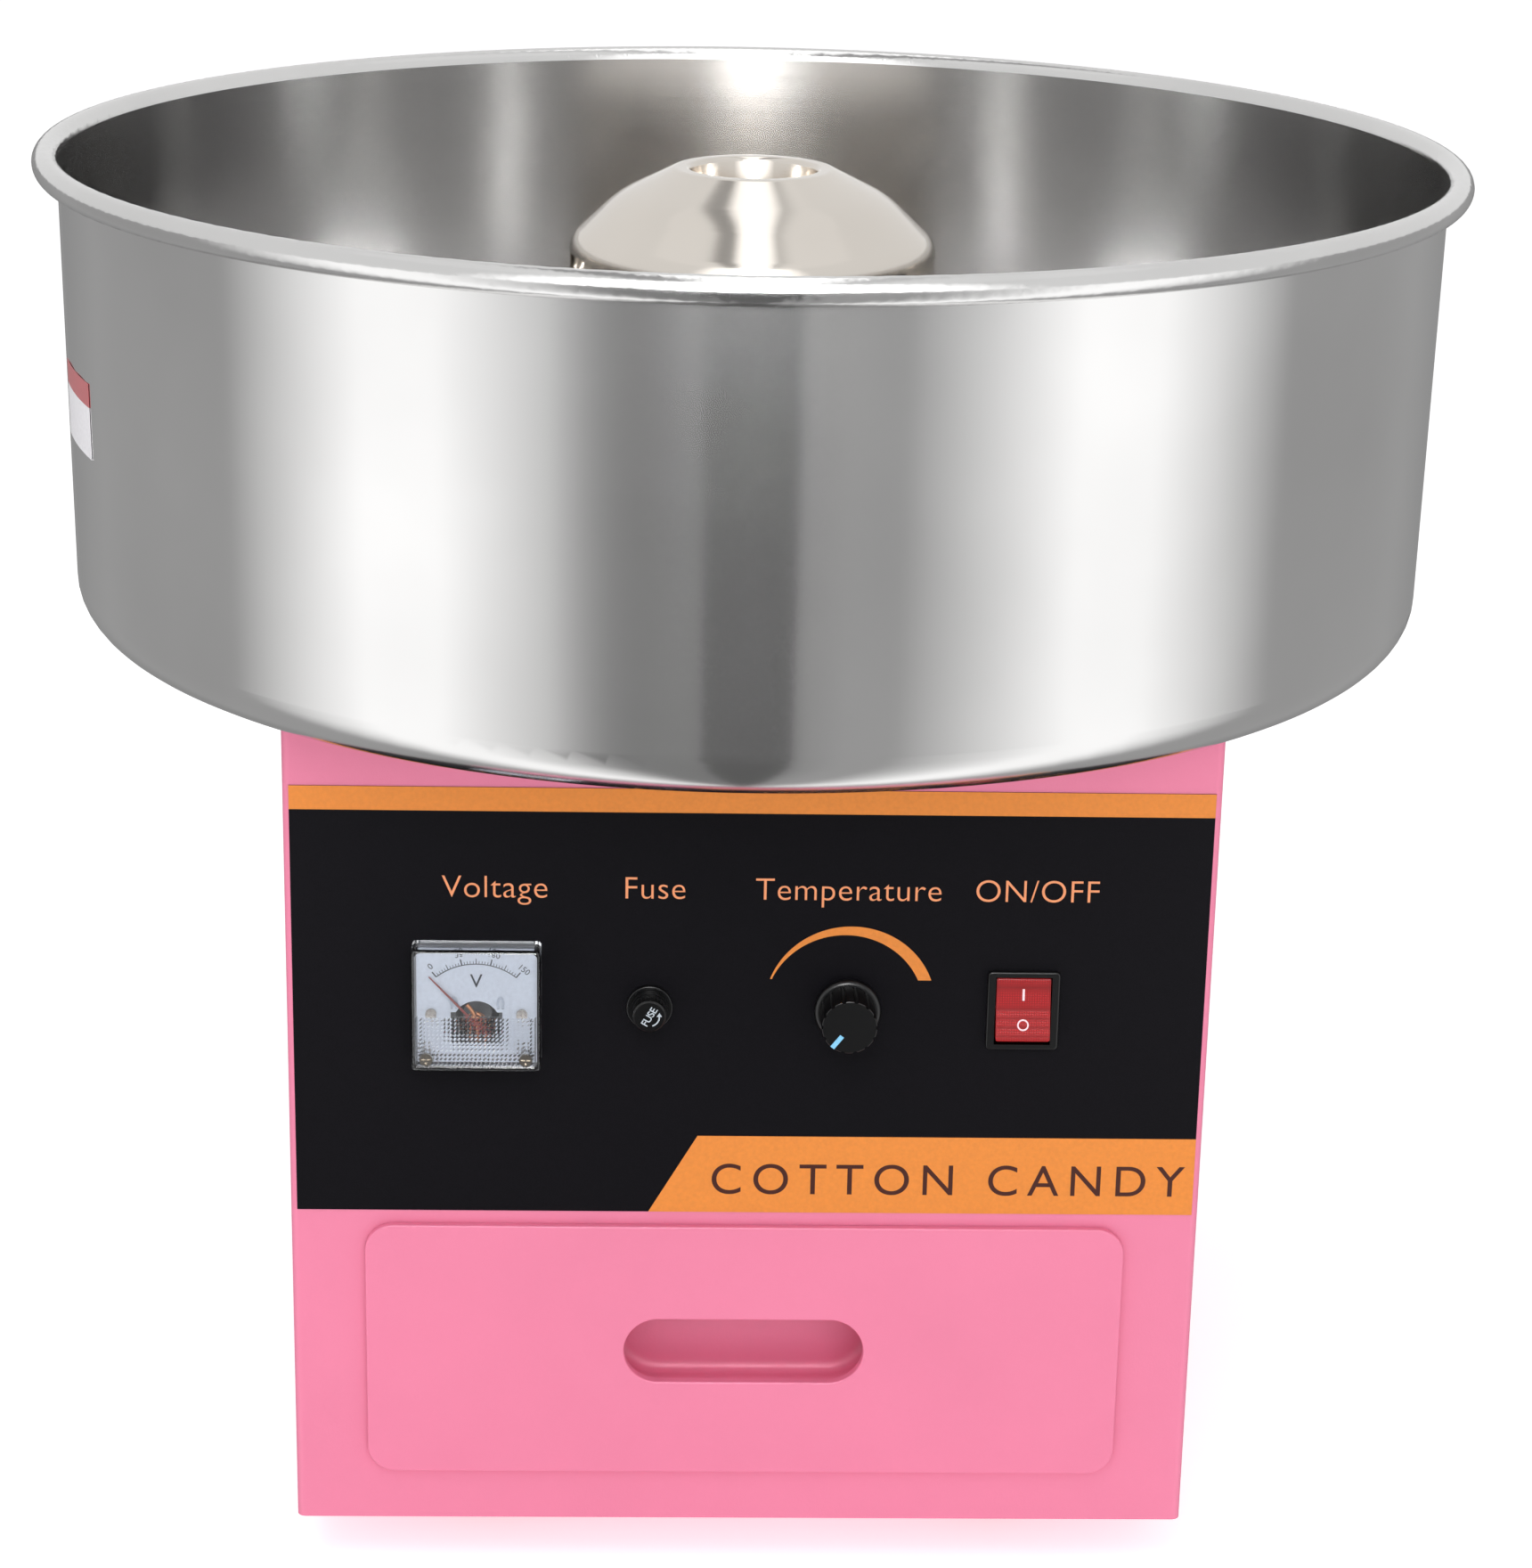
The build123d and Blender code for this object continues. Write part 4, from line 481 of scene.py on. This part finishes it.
def print_knob_scale():
    """A crescent round the knob, thin at the left and widening to the right."""
    outer = arc((knob_x + 0.9, knob_z + 0.4), 30.0, 160, 19.7)
    inner = arc((knob_x - 1.1, knob_z - 0.8), 28.0, 23.8, 156)
    mesh = on_front(flat_shape([outer + inner]), 0, FILM, 0)
    add_piece("knob_scale", mesh, "cabinet", orange_ink)


print_panel()
print_knob_scale()

# ---------------------------------------------------------------- knob, fuse cap and rocker marks
KNOB_R = 9.7  # radius of the knob at its face
MARKER_W, MARKER_L, MARKER_T, MARKER_TURN = 1.8, 5.6, 0.4, math.radians(142)
MARKER_GAP = 0.05


def fill_knob_marker():
    """Blue filler in the groove of the knob."""
    low, high = KNOB_R - MARKER_L, KNOB_R - 2 * MARKER_GAP
    side = MARKER_W / 2 - MARKER_GAP
    outline = [(-side, low), (side, low), (side, high), (-side, high)]
    depth = front_of("control_knob") - MARKER_T / 2 - MARKER_GAP
    mesh = on_front(flat_shape([outline], MARKER_T), knob_x, depth, knob_z, MARKER_TURN)
    add_piece("knob_marker", mesh, "control_knob", blue_ink)


FUSE_WORD_TURN, FUSE_WORD_LOW = math.radians(59), -1.15
ARROW_START, ARROW_END, ARROW_INNER, ARROW_OUTER = -72, 2, 3.2, 3.7


def print_fuse_cap():
    """The word FUSE and an arrow that shows which way the cap turns."""
    word = lettering("FUSE", 2.5, 0.94, 0.04)
    word.transform(Matrix.Rotation(FUSE_WORD_TURN, 4, "Z") @ Matrix.Translation((0, FUSE_WORD_LOW, 0)))
    sweep = arc((0, 0), ARROW_OUTER, ARROW_START, ARROW_END, 16)
    sweep += arc((0, 0), ARROW_INNER, ARROW_END, ARROW_START, 16)
    head = [(2.5, 0.1), (4.4, 0.1), (3.5, 1.6)]
    whole = merged("fuse_cap_print", [word, flat_shape([sweep]), flat_shape([head])])
    x, z = middle_of("fuse_cap")
    mesh = on_front(whole, x, front_of("fuse_cap") + PRINT_T / 2, z)
    add_piece("fuse_cap_print", mesh, "fuse_cap", cap_ink)


ROCKER_TILT = math.radians(-11)
ROCKER_FACE, ROCKER_SLOPE = 4.2, math.atan(1.2 / 14)  # face before the pin at its middle, and how it rises


def print_rocker():
    """The on bar and off ring, each lying on its own half of the rocker's shallow V."""
    joint = next(j for j in frame["record"]["behaviour"]["joints"] if j["name"] == "switch_rock")
    pin = Matrix.Translation(Vector(joint["pos_m"])) @ Matrix.Rotation(ROCKER_TILT, 4, "X")
    bar = flat_shape([[(-0.4, -2.1), (0.4, -2.1), (0.4, 2.1), (-0.4, 2.1)]])
    ring = flat_shape([arc((0, 0), 2.05, 0, 350, 35), arc((0, 0), 1.5, 0, 350, 35)])
    for name, mark, at in (("rocker_on_mark", bar, 5.2), ("rocker_off_mark", ring, -5.6)):
        face = -(ROCKER_FACE + PRINT_T / 2) * MM
        lean = Matrix.Rotation(math.copysign(ROCKER_SLOPE, at), 4, "X")
        along = Matrix.Translation((0, face, 0)) @ lean @ Matrix.Translation((0, 0, at * MM))
        mark.transform(pin @ along @ FACING_FRONT @ Matrix.Scale(MM, 4))
        add_piece(name, mark, "switch_rocker", mark_ink)


fill_knob_marker()
print_fuse_cap()
print_rocker()

# ---------------------------------------------------------------- voltmeter
meter_x, meter_z = middle_of("meter_cover")
PIVOT = (meter_x, meter_z - 6.0)
DIAL = front_of("meter_dial") + PRINT_T / 2
SCALE_R, SCALE_HALF, DIVISIONS = 22.0, 39.0, 30
NUMBERS = (("0", -37.2, 26.3), ("50", -13.4, 26.2), ("100", 13.6, 26.2), ("150", 39.5, 26.0))


def scale_tick(index):
    """One mark of the scale, longer at each fifth and longest at each tenth division."""
    length, width = (2.3, 0.42) if index % 10 == 0 else (2.0, 0.26) if index % 5 == 0 else (1.1, 0.18)
    lean = math.radians(-SCALE_HALF + 2 * SCALE_HALF * index / DIVISIONS)
    low, high = SCALE_R - 0.1, SCALE_R + length
    mesh = flat_shape([[(-width / 2, low), (width / 2, low), (width / 2, high), (-width / 2, high)]])
    mesh.transform(Matrix.Rotation(-lean, 4, "Z"))
    return mesh


def print_dial():
    """A 0 to 150 volt scale about the pointer's pivot, its numbers and a V."""
    first, last = 90 + SCALE_HALF, 90 - SCALE_HALF
    line = flat_shape([arc((0, 0), SCALE_R + 0.14, first, last) + arc((0, 0), SCALE_R - 0.14, last, first)])
    prints = [line] + [scale_tick(i) for i in range(DIVISIONS + 1)]
    for words, lean, radius in NUMBERS:
        number = lettering(words, 2.1, 1.0, -0.01)
        turn = Matrix.Rotation(-math.radians(lean), 4, "Z")
        number.transform(turn @ Matrix.Translation((0, radius - 1.0, 0)))
        prints.append(number)
    letter = lettering("V", 4.9)
    letter.transform(Matrix.Translation((0, 13.3, 0)))
    mesh = on_front(merged("dial_print", prints + [letter]), PIVOT[0], DIAL, PIVOT[1])
    add_piece("dial_print", mesh, "cabinet", dial_ink)


COVER_HALF, COVER_CORNER, COVER_EDGE, COVER_WALL, COVER_FOOT = 22.5, 1.6, 1.5, 1.4, 0.02
PRISM_PITCH, PRISM_H, PRISM_TOP = 1.5, 0.7, -2.2  # moulded pyramids below this height
EDGE_STEPS = (0.0, 0.2, 0.5, 0.95, 1.5)


def cover_lines():
    """Grid lines across the cover: close together at the rounded edges, half a pyramid apart between."""
    inner = COVER_HALF - EDGE_STEPS[-1]
    cells = round(2 * inner / (PRISM_PITCH / 2))
    middle = [-inner + 2 * inner * i / cells for i in range(1, cells)]
    return [-COVER_HALF + e for e in EDGE_STEPS] + middle + [COVER_HALF - e for e in reversed(EDGE_STEPS)]


def rounded_corner(u, v):
    """Moves a grid point in so that the square's corners become round."""
    core = COVER_HALF - COVER_CORNER
    over_u, over_v = abs(u) - core, abs(v) - core
    if over_u <= 0 or over_v <= 0:
        return u, v
    pull = max(over_u, over_v) / math.hypot(over_u, over_v)
    return math.copysign(core + over_u * pull, u), math.copysign(core + over_v * pull, v)


def cover_height(u, v, i, j, depth):
    """How far the cover's front stands out at a grid point."""
    inset = COVER_HALF - max(abs(u), abs(v))
    height = depth
    if inset < COVER_EDGE:
        height -= COVER_EDGE - math.sqrt(COVER_EDGE**2 - (COVER_EDGE - inset) ** 2)
    elif v < PRISM_TOP and inset > COVER_EDGE and i % 2 == 0 and j % 2 == 0:
        height += PRISM_H / 2
    elif v < PRISM_TOP and inset > COVER_EDGE:
        height -= PRISM_H / 2
    return height


def cover_front(built, lines, depth):
    """The cover's front as a grid of points and faces."""
    grid = {}
    for i, u in enumerate(lines):
        for j, v in enumerate(lines):
            x, y = rounded_corner(u, v)
            grid[i, j] = built.verts.new((x, y, cover_height(u, v, i, j, depth)))
    for i in range(len(lines) - 1):
        for j in range(len(lines) - 1):
            built.faces.new((grid[i, j], grid[i + 1, j], grid[i + 1, j + 1], grid[i, j + 1]))
    return grid


def cover_walls(built, grid, last, depth):
    """The cover's sides down to its open back, and the hollow inside them."""
    rim = [(i, 0) for i in range(last)] + [(last, j) for j in range(last)]
    rim += [(last - i, last) for i in range(last)] + [(0, last - j) for j in range(last)]
    shrink = (COVER_HALF - COVER_WALL) / COVER_HALF
    outer = [built.verts.new((grid[k].co.x, grid[k].co.y, COVER_FOOT)) for k in rim]
    inner = [built.verts.new((v.co.x * shrink, v.co.y * shrink, COVER_FOOT)) for v in outer]
    ceiling = [built.verts.new((v.co.x, v.co.y, depth - COVER_WALL)) for v in inner]
    for k in range(len(rim)):
        n = (k + 1) % len(rim)
        built.faces.new((grid[rim[n]], grid[rim[k]], outer[k], outer[n]))
        built.faces.new((outer[n], outer[k], inner[k], inner[n]))
        built.faces.new((inner[n], inner[k], ceiling[k], ceiling[n]))
    built.faces.new(ceiling)


def make_meter_cover():
    """The clear moulded cover, open at the back: plain window above, rows of little pyramids below."""
    face, front = front_of("control_decal"), front_of("meter_cover")
    depth = front - face - PRISM_H / 2
    lines = cover_lines()
    built = bmesh.new()
    grid = cover_front(built, lines, depth)
    cover_walls(built, grid, len(lines) - 1, depth)
    bmesh.ops.recalc_face_normals(built, faces=built.faces)
    mesh = bpy.data.meshes.new("meter_cover_moulding")
    built.to_mesh(mesh)
    built.free()
    on_front(mesh, meter_x, face, meter_z)
    cover = add_piece("meter_cover_moulding", mesh, "cabinet", looks["meter_window"])
    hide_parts("meter_cover")


def round_bar(points, radius, sides=12):
    """A bar of round section along smooth points in x, y, z."""
    curve = bpy.data.curves.new("round_bar", "CURVE")
    curve.dimensions = "3D"
    curve.bevel_depth = radius
    curve.bevel_resolution = sides // 4
    curve.use_fill_caps = True
    curve.resolution_u = 6
    spline = curve.splines.new("BEZIER")
    spline.bezier_points.add(len(points) - 1)
    for made, at in zip(spline.bezier_points, points):
        made.co = at
        made.handle_left_type = made.handle_right_type = "AUTO"
    return mesh_of(curve)


SPIRAL_POINTS, SPIRAL_START, SPIRAL_GROWTH = 48, 1.3, 0.06


def make_movement_details():
    """Clear pegs beside the window, and the copper bridge, hairspring and frame of the movement."""
    for name, x in (("meter_peg_left", -7.8), ("meter_peg_right", 8.4)):
        path = ((-0.8, 5.6), (-0.8, 8.6), (0, 9.6), (0.8, 8.6), (0.8, 5.6))
        loop = [(x + across, up, 0.45) for across, up in path]
        mesh = on_front(round_bar(loop, 0.38), PIVOT[0], DIAL, PIVOT[1])
        add_piece(name, mesh, "cabinet", looks["meter_window"])
    spiral = []
    for k in range(SPIRAL_POINTS):
        turn, reach = k * math.pi / 8, SPIRAL_START + SPIRAL_GROWTH * k
        spiral.append((reach * math.cos(turn), reach * math.sin(turn), -1.6))
    strut = [(-3.4, 6.4, -1.2), (-1.8, 4.6, -1.0), (-0.6, 2.2, -0.8), (0.2, -1.5, -0.8), (0.2, -7.0, -1.2)]
    arm = [(0.0, 3.4, -0.9), (1.4, 2.2, -0.9), (0.9, 0.4, -0.9)]
    parts = [round_bar(spiral, 0.14, 8), round_bar(strut, 0.75), round_bar(arm, 0.7)]
    mesh = on_front(merged("movement_bridge", parts), PIVOT[0], DIAL, PIVOT[1])
    add_piece("movement_bridge", mesh, "cabinet", looks["copper"])


print_dial()
make_meter_cover()
make_movement_details()

# ---------------------------------------------------------------- blank sticker on the bowl
STICKER_LOW, STICKER_HIGH, STICKER_SPLIT = 401.0, 428.0, 419.5
STICKER_NEAR, STICKER_FAR, STICKER_STEPS = -67.4, -77.5, 12  # degrees round from the front
STICKER_BACK, STICKER_FACE = 0.05, 0.2  # how far they stand off the wall
WALL_LOW, WALL_HIGH = (328.5, 249.3), (495.25, 251.3)  # height and outer radius of the wall's ends


def wall_radius(z):
    """The bowl wall's outer radius at a height."""
    share = (z - WALL_LOW[0]) / (WALL_HIGH[0] - WALL_LOW[0])
    return WALL_LOW[1] + (WALL_HIGH[1] - WALL_LOW[1]) * share


def make_sticker(name, low, high, look):
    """A patch of film that lies on the bowl's wall."""
    built = bmesh.new()
    columns = []
    for k in range(STICKER_STEPS + 1):
        turn = math.radians(STICKER_NEAR + (STICKER_FAR - STICKER_NEAR) * k / STICKER_STEPS)
        column = []
        for z in (low, high):
            for lift in (STICKER_BACK, STICKER_FACE):
                r = (wall_radius(z) + lift) * MM
                column.append(built.verts.new((r * math.sin(turn), -r * math.cos(turn), z * MM)))
        columns.append(column)
    for a, b in zip(columns, columns[1:]):
        for i, j in ((0, 1), (1, 3), (3, 2), (2, 0)):
            built.faces.new((a[i], a[j], b[j], b[i]))
    for end in (columns[0], columns[-1]):
        built.faces.new((end[0], end[1], end[3], end[2]))
    bmesh.ops.recalc_face_normals(built, faces=built.faces)
    mesh = bpy.data.meshes.new(name)
    built.to_mesh(mesh)
    built.free()
    add_piece(name, mesh, "bowl", look)


make_sticker("sticker_body", STICKER_LOW, STICKER_SPLIT, sticker_white)
make_sticker("sticker_header", STICKER_SPLIT, STICKER_HIGH, sticker_red)


# ---------------------------------------------------------------- studio
def emitter(name, colour, strength):
    """A plain glowing material for the studio."""
    material = bpy.data.materials.new(name)
    material.use_nodes = True
    shader = material.node_tree.nodes["Principled BSDF"]
    shader.inputs["Base Color"].default_value = (0, 0, 0, 1)
    shader.inputs["Specular IOR Level"].default_value = 0
    shader.inputs["Emission Color"].default_value = colour
    shader.inputs["Emission Strength"].default_value = strength
    return material


def area_light(name, at, aim, size, power):
    """A soft rectangular light that the camera doesn't see."""
    data = bpy.data.lights.new(name, "AREA")
    data.shape = "RECTANGLE"
    data.size, data.size_y = size
    data.energy = power
    light = bpy.data.objects.new(name, data)
    scene.collection.objects.link(light)
    light.location = at
    light.rotation_euler = (Vector(aim) - Vector(at)).to_track_quat("-Z", "Y").to_euler()
    light.visible_camera = False
    light.visible_glossy = False
    return light


def make_world(strength):
    """An even white world."""
    world = bpy.data.worlds.new("studio")
    world.use_nodes = True
    world.node_tree.nodes["Background"].inputs["Color"].default_value = (1, 1, 1, 1)
    world.node_tree.nodes["Background"].inputs["Strength"].default_value = strength
    scene.world = world


FLOOR_HALF = 30.0


def make_floor():
    """A wide pale floor that the machine stands on."""
    mesh = bpy.data.meshes.new("floor")
    corners = [(-FLOOR_HALF, -FLOOR_HALF, 0), (FLOOR_HALF, -FLOOR_HALF, 0), (FLOOR_HALF, FLOOR_HALF, 0)]
    mesh.from_pydata([*corners, (-FLOOR_HALF, FLOOR_HALF, 0)], [], [(0, 1, 2, 3)])
    floor = bpy.data.objects.new("floor", mesh)
    scene.collection.objects.link(floor)
    material = bpy.data.materials.new("floor_white")
    material.use_nodes = True
    shader = material.node_tree.nodes["Principled BSDF"]
    shader.inputs["Base Color"].default_value = (0.9, 0.9, 0.9, 1)
    shader.inputs["Roughness"].default_value = 0.8
    shader.inputs["Emission Color"].default_value = (1, 1, 1, 1)
    shader.inputs["Emission Strength"].default_value = 0.5
    mesh.materials.append(material)
    floor.visible_glossy = False


BACKDROP_R, BACKDROP_H, BACKDROP_SIDES = 28.0, 20.0, 48


def make_backdrop():
    """A far white wall all round, seen by the camera only."""
    mesh = bpy.data.meshes.new("backdrop")
    turns = [2 * math.pi * i / BACKDROP_SIDES for i in range(BACKDROP_SIDES)]
    plan = [(BACKDROP_R * math.cos(t), BACKDROP_R * math.sin(t)) for t in turns]
    foot = [(x, y, -0.01) for x, y in plan]
    head = [(x, y, BACKDROP_H) for x, y in plan]
    walls = []
    for i in range(BACKDROP_SIDES):
        after = (i + 1) % BACKDROP_SIDES
        walls.append((i, after, BACKDROP_SIDES + after, BACKDROP_SIDES + i))
    mesh.from_pydata(foot + head, [], walls)
    backdrop = bpy.data.objects.new("backdrop", mesh)
    scene.collection.objects.link(backdrop)
    mesh.materials.append(emitter("backdrop_white", (1, 1, 1, 1), 1.0))
    backdrop.visible_diffuse = False
    backdrop.visible_glossy = False
    backdrop.visible_transmission = False
    backdrop.visible_shadow = False


RING_R, RING_LOW, RING_SPLIT, RING_TOP, RING_SIDES = 0.8, -0.8, 0.52, 1.6, 720
CEILING_CELLS = 40
LOWER_GREY, UPPER_GREY, CEILING_GREY = 0.4, 0.85, 0.9  # brightness where no card stands
# A card is its middle, half its width, how far its soft edges reach beyond that, and its brightness.
# Round the studio it is placed in degrees from straight ahead towards +X, overhead in metres to the right.
# A later card hides the earlier ones.
LOWER_CARDS = (
    (180, 40, 20, 0.3),  # grey behind
    (-50, 6, 25, 1.35),  # a white box on the left
    (50, 6, 25, 1.35),  # and one on the right
    (-8, 8, 12, 0.25),  # a dark card ahead
    (-1, 6, 0.5, 0.13),  # a narrow black one before it
)
# the upper part of the ring, seen in the inside of the bowl and the sides of the head
UPPER_CARDS = (
    (-2, 12, 26, 2.6),  # a wide glow ahead
    (-2, 5, 7, 16.0),  # the strip light in it
)
CEILING_CARDS = (
    (-0.21, 0.06, 0.06, 0.35),  # dark on the left
    (0.2, 0, 0.1, 0.6),  # dim on the right
    (0.02, 0.11, 0.06, 1.6),  # white over the middle
)


def brightness(grey, cards, at):
    """What stands at a place: the cards over one another, or the grey beside them."""
    shade = grey
    for middle, half_width, edge, glow in cards:
        beyond = abs((at - middle + 180) % 360 - 180) - half_width
        cover = min(max(1 - beyond / edge, 0), 1)
        shade += (glow - shade) * cover
    return shade


def make_reflection_ring():
    """White, grey and black cards round and over the machine, there only for gloss to reflect."""
    mesh = bpy.data.meshes.new("reflector_cards")
    built = bmesh.new()
    tone = built.verts.layers.float_color.new("tone")

    def glowing(x, y, z, shade):
        made = built.verts.new((x, y, z))
        made[tone] = (shade, shade, shade, 1)
        return made

    rails = []
    for i in range(RING_SIDES):
        degrees = 360 * i / RING_SIDES - 180
        turn = math.radians(degrees)
        side, ahead = math.sin(turn), -math.cos(turn)
        lower = brightness(LOWER_GREY, LOWER_CARDS, degrees)
        upper = brightness(UPPER_GREY, UPPER_CARDS, degrees)
        column = [glowing(0.01 * side, 0.01 * ahead, RING_LOW, lower)]
        column += [glowing(RING_R * side, RING_R * ahead, z, lower) for z in (RING_LOW, RING_SPLIT)]
        column += [glowing(RING_R * side, RING_R * ahead, z, upper) for z in (RING_SPLIT, RING_TOP)]
        rails.append(column)
    for left, right in zip(rails, rails[1:] + rails[:1]):
        for i in (0, 1, 3):
            built.faces.new((left[i], right[i], right[i + 1], left[i + 1]))
    edges = [-RING_R + 2 * RING_R * i / CEILING_CELLS for i in range(CEILING_CELLS + 1)]
    for left, right in zip(edges, edges[1:]):
        corners = ((left, -RING_R), (right, -RING_R), (right, RING_R), (left, RING_R))
        shades = [brightness(CEILING_GREY, CEILING_CARDS, corner[0]) for corner in corners]
        built.faces.new([glowing(x, y, RING_TOP, shade) for (x, y), shade in zip(corners, shades)])
    built.to_mesh(mesh)
    built.free()
    ring = bpy.data.objects.new("reflector_cards", mesh)
    scene.collection.objects.link(ring)
    material = emitter("card_glow", (1, 1, 1, 1), 1.0)
    tree = material.node_tree
    read = tree.nodes.new("ShaderNodeVertexColor")
    read.layer_name = "tone"
    tree.links.new(read.outputs["Color"], tree.nodes["Principled BSDF"].inputs["Emission Color"])
    mesh.materials.append(material)
    ring.visible_camera = False
    ring.visible_diffuse = False
    ring.visible_shadow = False
    ring.visible_transmission = False


make_world(0.58)
make_floor()
make_backdrop()
make_reflection_ring()
area_light("key_above", (-0.5, -1.2, 2.2), (0, 0, 0.3), (1.6, 1.6), 18)
area_light("fill_front", (0.4, -2.2, 1.0), (0, 0, 0.2), (1.8, 1.2), 14)
